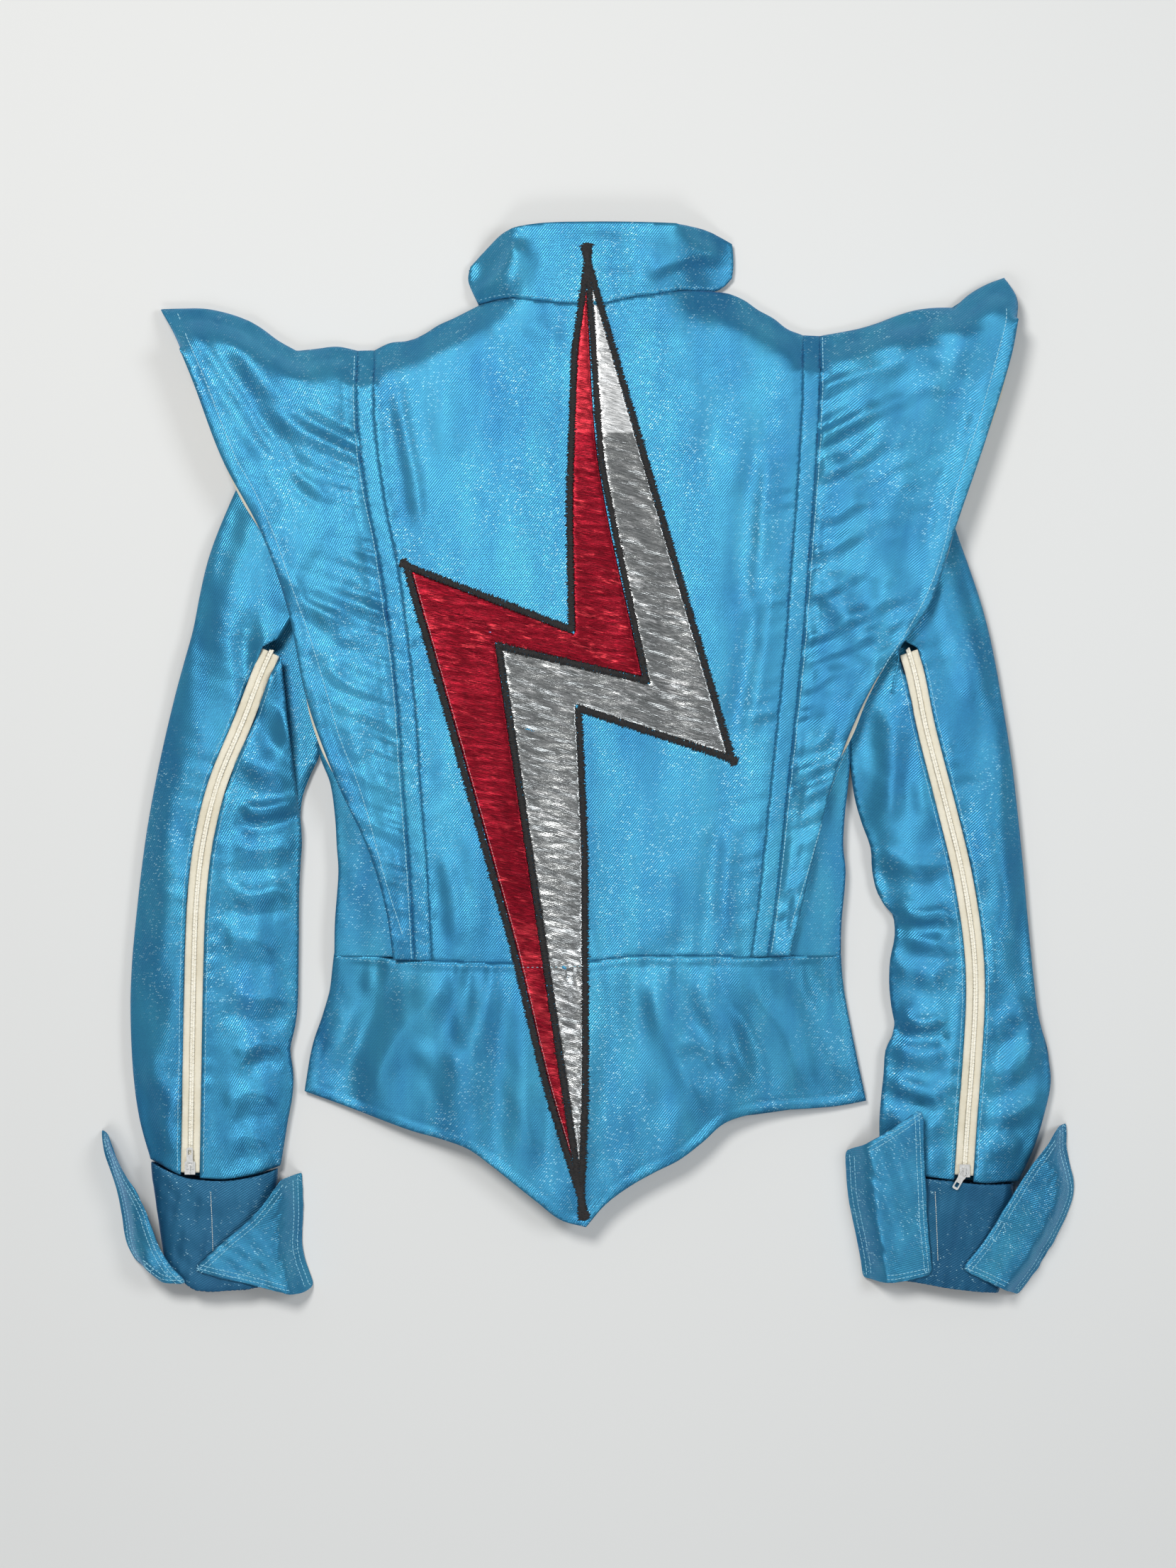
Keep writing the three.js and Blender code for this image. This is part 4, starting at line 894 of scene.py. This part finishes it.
def rumpled(node, material, body, height, seed):
    """A folded or tubular piece: the CAD shape, rounded by subdivision and swelling a little on top."""
    points, tri = node_mesh(node)
    piece = new_mesh("cloth_" + node, points, tri, material)
    bpy.context.view_layer.objects.active = piece
    round_off = piece.modifiers.new("round_off", "SUBSURF")
    round_off.levels = round_off.render_levels = 3
    bpy.ops.object.select_all(action="DESELECT")
    piece.select_set(True)
    bpy.ops.object.modifier_apply(modifier="round_off")
    data = piece.data
    co = vectors(data.vertices, "co")
    normal = vectors(data.vertex_normals, "vector")
    plan = co[:, :2] / MM
    swell_by = height * waves(plan, seed, 30, 60, 0.8) + 0.4 * height * waves(plan, seed + 50, 12, 20, 0.8)
    co += normal * (swell_by * smooth(normal[:, 2] * 2))[:, None] * MM
    data.vertices.foreach_set("co", co.ravel())
    data.update()
    CUFFS[node] = (co / MM, triangles(data))
    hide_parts(node)
    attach(piece, body)
    return piece


back()
wings()
peplum()
stand_collar()
front()
sleeves()
cuffs()


# ---------- thread ----------
RING = np.array([[math.cos(2 * math.pi * k / 6), math.sin(2 * math.pi * k / 6)] for k in range(6)])
# Places along a stitch, and its share of the full radius there.
BEAD = ((0.0, 0.45), (0.12, 0.9), (0.5, 1.0), (0.88, 0.9), (1.0, 0.45))


def stitches(name, starts, ends, rise, radius, material, body="jacket", node=None):
    """One mesh of many short thread beads from starts to ends, which arch up by rise between them."""
    starts, ends = np.asarray(starts), np.asarray(ends)
    along = ends - starts
    length = np.linalg.norm(along, axis=1, keepdims=True)
    along = along / np.maximum(length, 1e-9)
    side = np.cross(along, [0, 0, 1])
    side /= np.maximum(np.linalg.norm(side, axis=1, keepdims=True), 1e-9)
    over = np.cross(side, along)
    rise = np.broadcast_to(rise, len(starts))[:, None]
    radius = np.broadcast_to(np.asarray(radius, float), len(starts))[:, None]
    rings = []
    for t, share in BEAD:
        middle = starts + along * length * t + [0, 0, 1] * rise * (1 - (2 * t - 1) ** 2)
        for u, v in RING:
            rings.append(middle + (side * u + over * v) * radius * share)
    points = np.stack(rings, 1).reshape(-1, 3)
    n, per = len(RING), len(RING) * len(BEAD)
    faces = []
    for j in range(len(BEAD) - 1):
        for k in range(n):
            a, b = j * n + k, j * n + (k + 1) % n
            faces.append((a, b, b + n, a + n))
    caps = [tuple(range(n))[::-1], tuple(range(per - n, per))]
    every = []
    for i in range(len(starts)):
        every += [tuple(v + i * per for v in face) for face in faces + caps]
    piece = new_mesh(name, points, every, material)
    if node:
        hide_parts(node)
    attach(piece, body)
    return piece


def along_line(line, pitch, length, tree, lift, jitter, rng):
    """Starts and ends of a running stitch along a line in frame millimetres."""
    at_mm = np.arange(pitch / 2, arc_length(line)[-1] - length, pitch)
    ends = []
    for shift in (0, length):
        xy = on_line(line, at_mm + shift)
        xy = xy + rng.uniform(-jitter, jitter, xy.shape)
        ends.append(np.column_stack([xy, heights(tree, xy) + lift]))
    return ends


STEEPEST = 1.6        # the most that a stitch's two ends may differ in level


def on_cloth(starts, ends, tree):
    """Which stitches lie on their cloth: one that runs off its edge would hang down to the layer below."""
    middles = (starts[:, :2] + ends[:, :2]) / 2
    over = [below(tree, x, y) is not None for x, y in middles]
    return np.array(over) & (np.abs(starts[:, 2] - ends[:, 2]) < STEEPEST)


def topstitch(name, lines, material, body="jacket", pitch=3.0, length=2.3, radius=0.32, seed=1,
              tree=None):
    """Running stitches along lines, which lie on the cloth or on the tree given."""
    rng = np.random.RandomState(seed)
    tree = tree or tops()
    pairs = [along_line(resampled(line, 2.0), pitch, length, tree, 0.12, 0.12, rng) for line in lines]
    starts, ends = (np.vstack(each) for each in zip(*pairs))
    keep = on_cloth(starts, ends, tree)
    return stitches(name, starts[keep], ends[keep], 0.12, radius, material, body)


# ---------- the bolt ----------
BOLT = {
    "tip": (-1.3, 377.5), "bow_high": (-12.5, 300), "bow_low": (-16.3, 190), "inner": (-14.7, 101),
    "left": (-136, 148), "waist": (-58, -130), "tail_left": (-31.5, -240), "tail": (-2.8, -331),
    "tail_right": (0.8, -240), "leg_right": (0.2, -60), "silver": (-4, 36.4), "right": (108.4, -0.5),
    "divider_bow": (9.5, 218), "divider_right": (42, 60.3), "divider_left": (-65, 85.5),
}
STROKE = 4.6          # width of the black satin stitch round the bolt
DIVIDER = 1.9         # half its width between the colours
OVERLAP = 0.5         # how far the stitch reaches over the foil
PINK_INSET = 1.8      # from the stroke to the pink thread along the red piece's left edge
PINK_SHOWS = slice(3, -12)            # the part of that edge, in steps of 4 mm, where the thread shows
INWARD = {"inner": STROKE, "silver": STROKE, "divider_right": DIVIDER, "divider_left": DIVIDER}


def foil_shape(seed):
    def shape(xy, away):
        wrinkles = 0.28 * waves(xy, seed, 9, 78, 0.35) + 0.16 * waves(xy, seed + 1, 4.5, 84, 0.3)
        return wrinkles * smooth(away / 4)
    return shape


def satin(points, inset_by, width, rng, tree, closed=True):
    """Starts and ends of satin stitch along a line: threads side by side across it, uneven at their ends.
    Each run reaches on past an inward corner, so that no bare patch is left there."""
    names = points + points[:1] if closed else points
    pitch = 0.6 * QUICK_SCALE
    starts, ends = [], []
    for first, second in zip(names[:-1], names[1:]):
        p, q = at(BOLT[first]), at(BOLT[second])
        d = (q - p) / np.hypot(*(q - p))
        p = p - d * INWARD.get(first, 0)
        q = q + d * INWARD.get(second, 0)
        across = np.array([-d[1], d[0]])
        count = int(np.hypot(*(q - p)) / pitch)
        t = (np.arange(count) + 0.5) * pitch
        middle = p + t[:, None] * d + across * inset_by
        skew = rng.normal(0, 0.14, count)
        reach = width / 2 + rng.normal(0, 0.3, count) + 0.9 * (rng.uniform(0, 1, count) > 0.94)
        shift = rng.normal(0, 0.22, count)
        way = across + skew[:, None] * d
        starts.append(middle + way * (shift - reach)[:, None])
        ends.append(middle + way * (shift + reach)[:, None])
    starts, ends = np.vstack(starts), np.vstack(ends)
    lift = rng.uniform(0.1, 0.4, len(starts))
    levels_at = [heights(tree, starts), heights(tree, ends), heights(tree, (starts + ends) / 2)]
    highest = np.maximum.reduce(levels_at)
    starts = np.column_stack([starts, np.maximum(levels_at[0], highest - 0.9) + lift])
    ends = np.column_stack([ends, np.maximum(levels_at[1], highest - 0.9) + lift])
    return starts, ends


def bolt():
    back_tree = tops()
    cloth("bolt_red", red_foil, 1.6, 0.6, foil_shape(101), on=back_tree, dip=0.4)
    cloth("bolt_silver", silver_foil, 1.6, 0.6, foil_shape(111), on=back_tree, dip=0.4)
    tree = tops()
    outer = ["tip", "bow_high", "bow_low", "inner", "left", "waist", "tail_left", "tail", "tail_right",
             "leg_right", "silver", "right"]
    inner = ["tip", "divider_bow", "divider_right", "divider_left", "tail"]
    rng = np.random.RandomState(121)
    runs = [satin(outer, (STROKE + OVERLAP) / 2, STROKE + OVERLAP, rng, tree),
            satin(inner, 0, 2 * (DIVIDER + OVERLAP), rng, tree, closed=False)]
    starts, ends = (np.vstack(each) for each in zip(*runs))
    stitches("satin_outline", starts, ends, 0.5, 0.38 * QUICK_SCALE, black_thread,
             node="bolt_outline")
    red_edge = resampled(at([BOLT[name] for name in ("left", "waist", "tail_left", "tail")]), 4)
    red_edge = offset(red_edge, STROKE + PINK_INSET)[PINK_SHOWS]
    topstitch("pink_stitching", [red_edge], pink_thread, pitch=2.2, length=1.7, radius=0.2, seed=5)


# ---------- zips ----------
def zip_line(side):
    return resampled(at(LEFT_ZIP if side == "left" else RIGHT_ZIP), 3)


COIL_PITCH = 1.35     # from one tooth of the coil to the next
TOOTH = 0.56          # radius of a tooth
CORD = 0.85           # radius of the cord that the coil is wound round, and its distance from the middle
CORD_PITCH = 2.6      # the cord is made of beads, which overlap a little
CORD_BEAD = 2.7
COIL_SUNK = 0.75      # from the face of the CAD's chain to the middle of the teeth
COIL_START = 10       # how far below the chain's upper end the teeth begin, on their tapes


def teeth(name, line, start, end, level, node, hang=1):
    """A coil zip's two rows of teeth along a line, and the cords in them. hang is -1 where they face down."""
    at_mm = np.arange(start, end, COIL_PITCH)
    starts, ends = [], []
    for sign, shift in ((1, 0), (-1, COIL_PITCH / 2)):
        middle = on_line(line, at_mm + shift)
        d = on_line(line, at_mm + shift + 0.5) - middle
        d /= np.hypot(d[:, 0], d[:, 1])[:, None]
        across = np.stack([-d[:, 1], d[:, 0]], 1) * sign
        z = np.full(len(at_mm), level)
        starts.append(np.column_stack([middle - 0.15 * across, z]))
        ends.append(np.column_stack([middle + 1.65 * across - 0.25 * d, z - 0.25 * hang]))
    radius = [TOOTH] * (2 * len(at_mm))
    place = arc_length(line)
    for sign in (1, -1):
        cord = offset(line, sign * CORD)
        where = np.arange(start, end, CORD_PITCH)
        for shift, side in ((0, starts), (CORD_BEAD, ends)):
            xy = np.stack([np.interp(where + shift, place, cord[:, k]) for k in (0, 1)], 1)
            side.append(np.column_stack([xy, np.full(len(where), level - 0.55 * hang)]))
        radius += [CORD] * len(where)
    starts, ends = np.vstack(starts), np.vstack(ends)
    return stitches(name, starts, ends, 0.25 * hang, radius, coil, node=node)


def zips():
    """The tapes, and the coils in the place of the CAD's chains."""
    for side in ("left", "right"):
        for which in ("outer", "inner"):
            cloth(f"zip_tape_{which}_{side}", cream, 1.6, 0.9, dip=0.35,
                  shape=lambda xy, away: 0.25 * waves(xy, 131, 60, 90, 0.2) + 0.2 * smooth(away / 2))
        low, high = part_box("zip_chain_" + side)
        line = zip_line(side)
        start = max(line[0, 1] - high.y / MM, 0) + COIL_START
        end = arc_length(line)[-1] + (line[-1, 1] - low.y / MM)
        teeth("coil_" + side, line, start, end, high.z / MM - COIL_SUNK, "zip_chain_" + side)
    low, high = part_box("front_zip_chain")
    middle = (low.x + high.x) / 2 / MM
    line = np.array([[middle, high.y / MM], [middle, low.y / MM]])
    level = low.z / MM + COIL_SUNK
    teeth("coil_front", line, 0, arc_length(line)[-1] - 1, level, "front_zip_chain", hang=-1)
    for side in ("left", "right"):
        cloth("front_zip_tape_" + side, cream, 2.5, 0.9, dip=0.1)


def hardware():
    for node in ("front_zip_slider", "front_zip_pull", "zip_slider_left", "zip_slider_right", "zip_pull_left",
                 "zip_pull_right"):
        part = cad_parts[node]
        part.data.materials.clear()
        part.data.materials.append(nickel)
        soften = part.modifiers.new("soft_edges", "BEVEL")
        soften.width = 0.00022
        soften.segments = 2


# ---------- topstitching ----------
LEFT_HEM = [(-300, 330), (-297, 323), (-280, 285), (-255, 222), (-240, 195), (-225, 160), (-213, 125),
            (-200, 88), (-190, 55), (-180, 20), (-168, -10), (-160, -35), (-152, -65), (-145, -90),
            (-134, -125)]
RIGHT_HEM = [(294, 352), (303, 340), (302, 320), (297, 300), (283, 250), (265, 195), (258, 160), (246, 125),
             (230, 95), (214, 70), (200, 40), (190, 15), (178, -15), (170, -40), (160, -75), (146, -120)]
BAND_STITCH = 2.4     # how far outside the band's edge its stitching runs
ZIP_STITCH = 9.5      # from a sleeve zip's middle to its stitching
UNDER_WING = 72       # above this the zips' stitching lies under the wings


def stitching():
    topstitch("hem_stitching_left", [at(LEFT_HEM)], blue_thread, seed=11)
    topstitch("hem_stitching_right", [at(RIGHT_HEM)], blue_thread, seed=12)
    for side, band, sign in (("left", LEFT_BAND, -1), ("right", RIGHT_BAND, 1)):
        line = offset(resampled(at(band), 4), sign * BAND_STITCH)
        topstitch("band_stitching_" + side, [line], blue_thread, pitch=2.8, length=2.1, seed=13 + sign)
        zip_middle = zip_line(side)
        zip_middle = zip_middle[zip_middle[:, 1] < UNDER_WING]
        runs = [offset(zip_middle, ZIP_STITCH), offset(zip_middle, -ZIP_STITCH)]
        topstitch("zip_stitching_" + side, runs, blue_thread, pitch=3.1, length=2.5, radius=0.24,
                  seed=16 + sign)
    collar = offset(resampled(at(NECK), 4), 3.0)
    waist = offset(resampled(at(WAIST), 4), -3.0)
    topstitch("collar_stitching", [collar], blue_thread, pitch=3.4, length=1.6, radius=0.2, seed=20)
    topstitch("waist_stitching", [waist], blue_thread, pitch=3.4, length=1.6, radius=0.2, seed=21)


CUFF_SEAM = {"left": -274, "right": 252}      # where across the jacket the seam of each cuff band lies


def cuff_stitching():
    """Two rows along each cuff wing's free edge and a bright seam down the middle of each cuff."""
    for side in ("left", "right"):
        for which in ("outer", "inner"):
            node = f"cuff_{which}_wing_{side}"
            edge = resampled(top_of(node)[2], 3, closed=True)
            edge = np.vstack([edge, edge[:1]])
            turn = (edge[:-1, 0] * edge[1:, 1] - edge[1:, 0] * edge[:-1, 1]).sum()
            rows = [offset(edge, math.copysign(away, turn)) for away in (3.0, 6.0)]
            topstitch(f"cuff_stitching_{which}_{side}", rows, blue_thread, body=f"{which}_wing_{side}",
                      pitch=2.8, length=2.1, radius=0.24, seed=31, tree=surface(*CUFFS[node]))
        x = CUFF_SEAM[side]
        topstitch("cuff_seam_" + side, [at([(x, -310), (x + 1, -335), (x + 2, -362)])], pale_thread,
                  pitch=1.4, length=1.1, radius=0.3, seed=33, tree=surface(*CUFFS["cuff_band_" + side]))


bolt()
zips()
hardware()
stitching()
cuff_stitching()


# ---------- floor, light, camera ----------
FIELD = 1.139          # metres of floor that the picture's long side takes in
DISTANCE = 2.3
CENTRE = (-0.0003, -0.0167)
AIM_LEVEL = 0.02       # the level at which the field is that wide
FLOOR_HALF = 6
FLOOR_LEVEL = -0.0004


def stage():
    data = bpy.data.meshes.new("floor")
    corners = [(x * FLOOR_HALF, y * FLOOR_HALF, FLOOR_LEVEL) for x, y in ((-1, -1), (1, -1), (1, 1), (-1, 1))]
    data.from_pydata(corners, [], [(0, 1, 2, 3)])
    floor = bpy.data.objects.new("floor", data)
    bpy.context.scene.collection.objects.link(floor)
    material, _, shader = nodes_of("pale_floor")
    settings(shader, base_color=(0.66, 0.66, 0.65, 1), roughness=0.7)
    data.materials.append(material)


def area_light(name, place, target, size, power, colour=(1, 1, 1)):
    data = bpy.data.lights.new(name, "AREA")
    data.shape = "DISK"
    data.size = size
    data.energy = power
    data.color = colour
    light = bpy.data.objects.new(name, data)
    light.location = place
    light.rotation_mode = "QUATERNION"
    light.rotation_quaternion = (Vector(target) - Vector(place)).to_track_quat("-Z", "Y")
    bpy.context.scene.collection.objects.link(light)


def lights():
    world = bpy.data.worlds.new("soft_room")
    world.use_nodes = True
    world.node_tree.nodes["Background"].inputs[0].default_value = (0.94, 0.97, 1.0, 1)
    world.node_tree.nodes["Background"].inputs[1].default_value = 0.22
    bpy.context.scene.world = world
    area_light("key", (-0.65, 1.0, 2.15), (0, 0, 0), 0.75, 40.5, (1.0, 0.99, 0.97))
    area_light("fill", (1.35, 0.3, 1.7), (0, 0, 0), 0.8, 15, (0.93, 0.97, 1.0))
    area_light("low", (-0.2, -1.3, 1.7), (0, 0, 0), 0.8, 10, (0.95, 0.98, 1.0))


def camera():
    data = bpy.data.cameras.new("camera")
    data.sensor_fit = "AUTO"
    data.sensor_width = 36
    data.lens = 36 * DISTANCE / FIELD
    eye = bpy.data.objects.new("camera", data)
    eye.location = (*CENTRE, DISTANCE + AIM_LEVEL)
    bpy.context.scene.collection.objects.link(eye)
    bpy.context.scene.camera = eye


stage()
lights()
camera()
bpy.context.scene.view_settings.view_transform = "Standard"

bpy.context.view_layer.update()
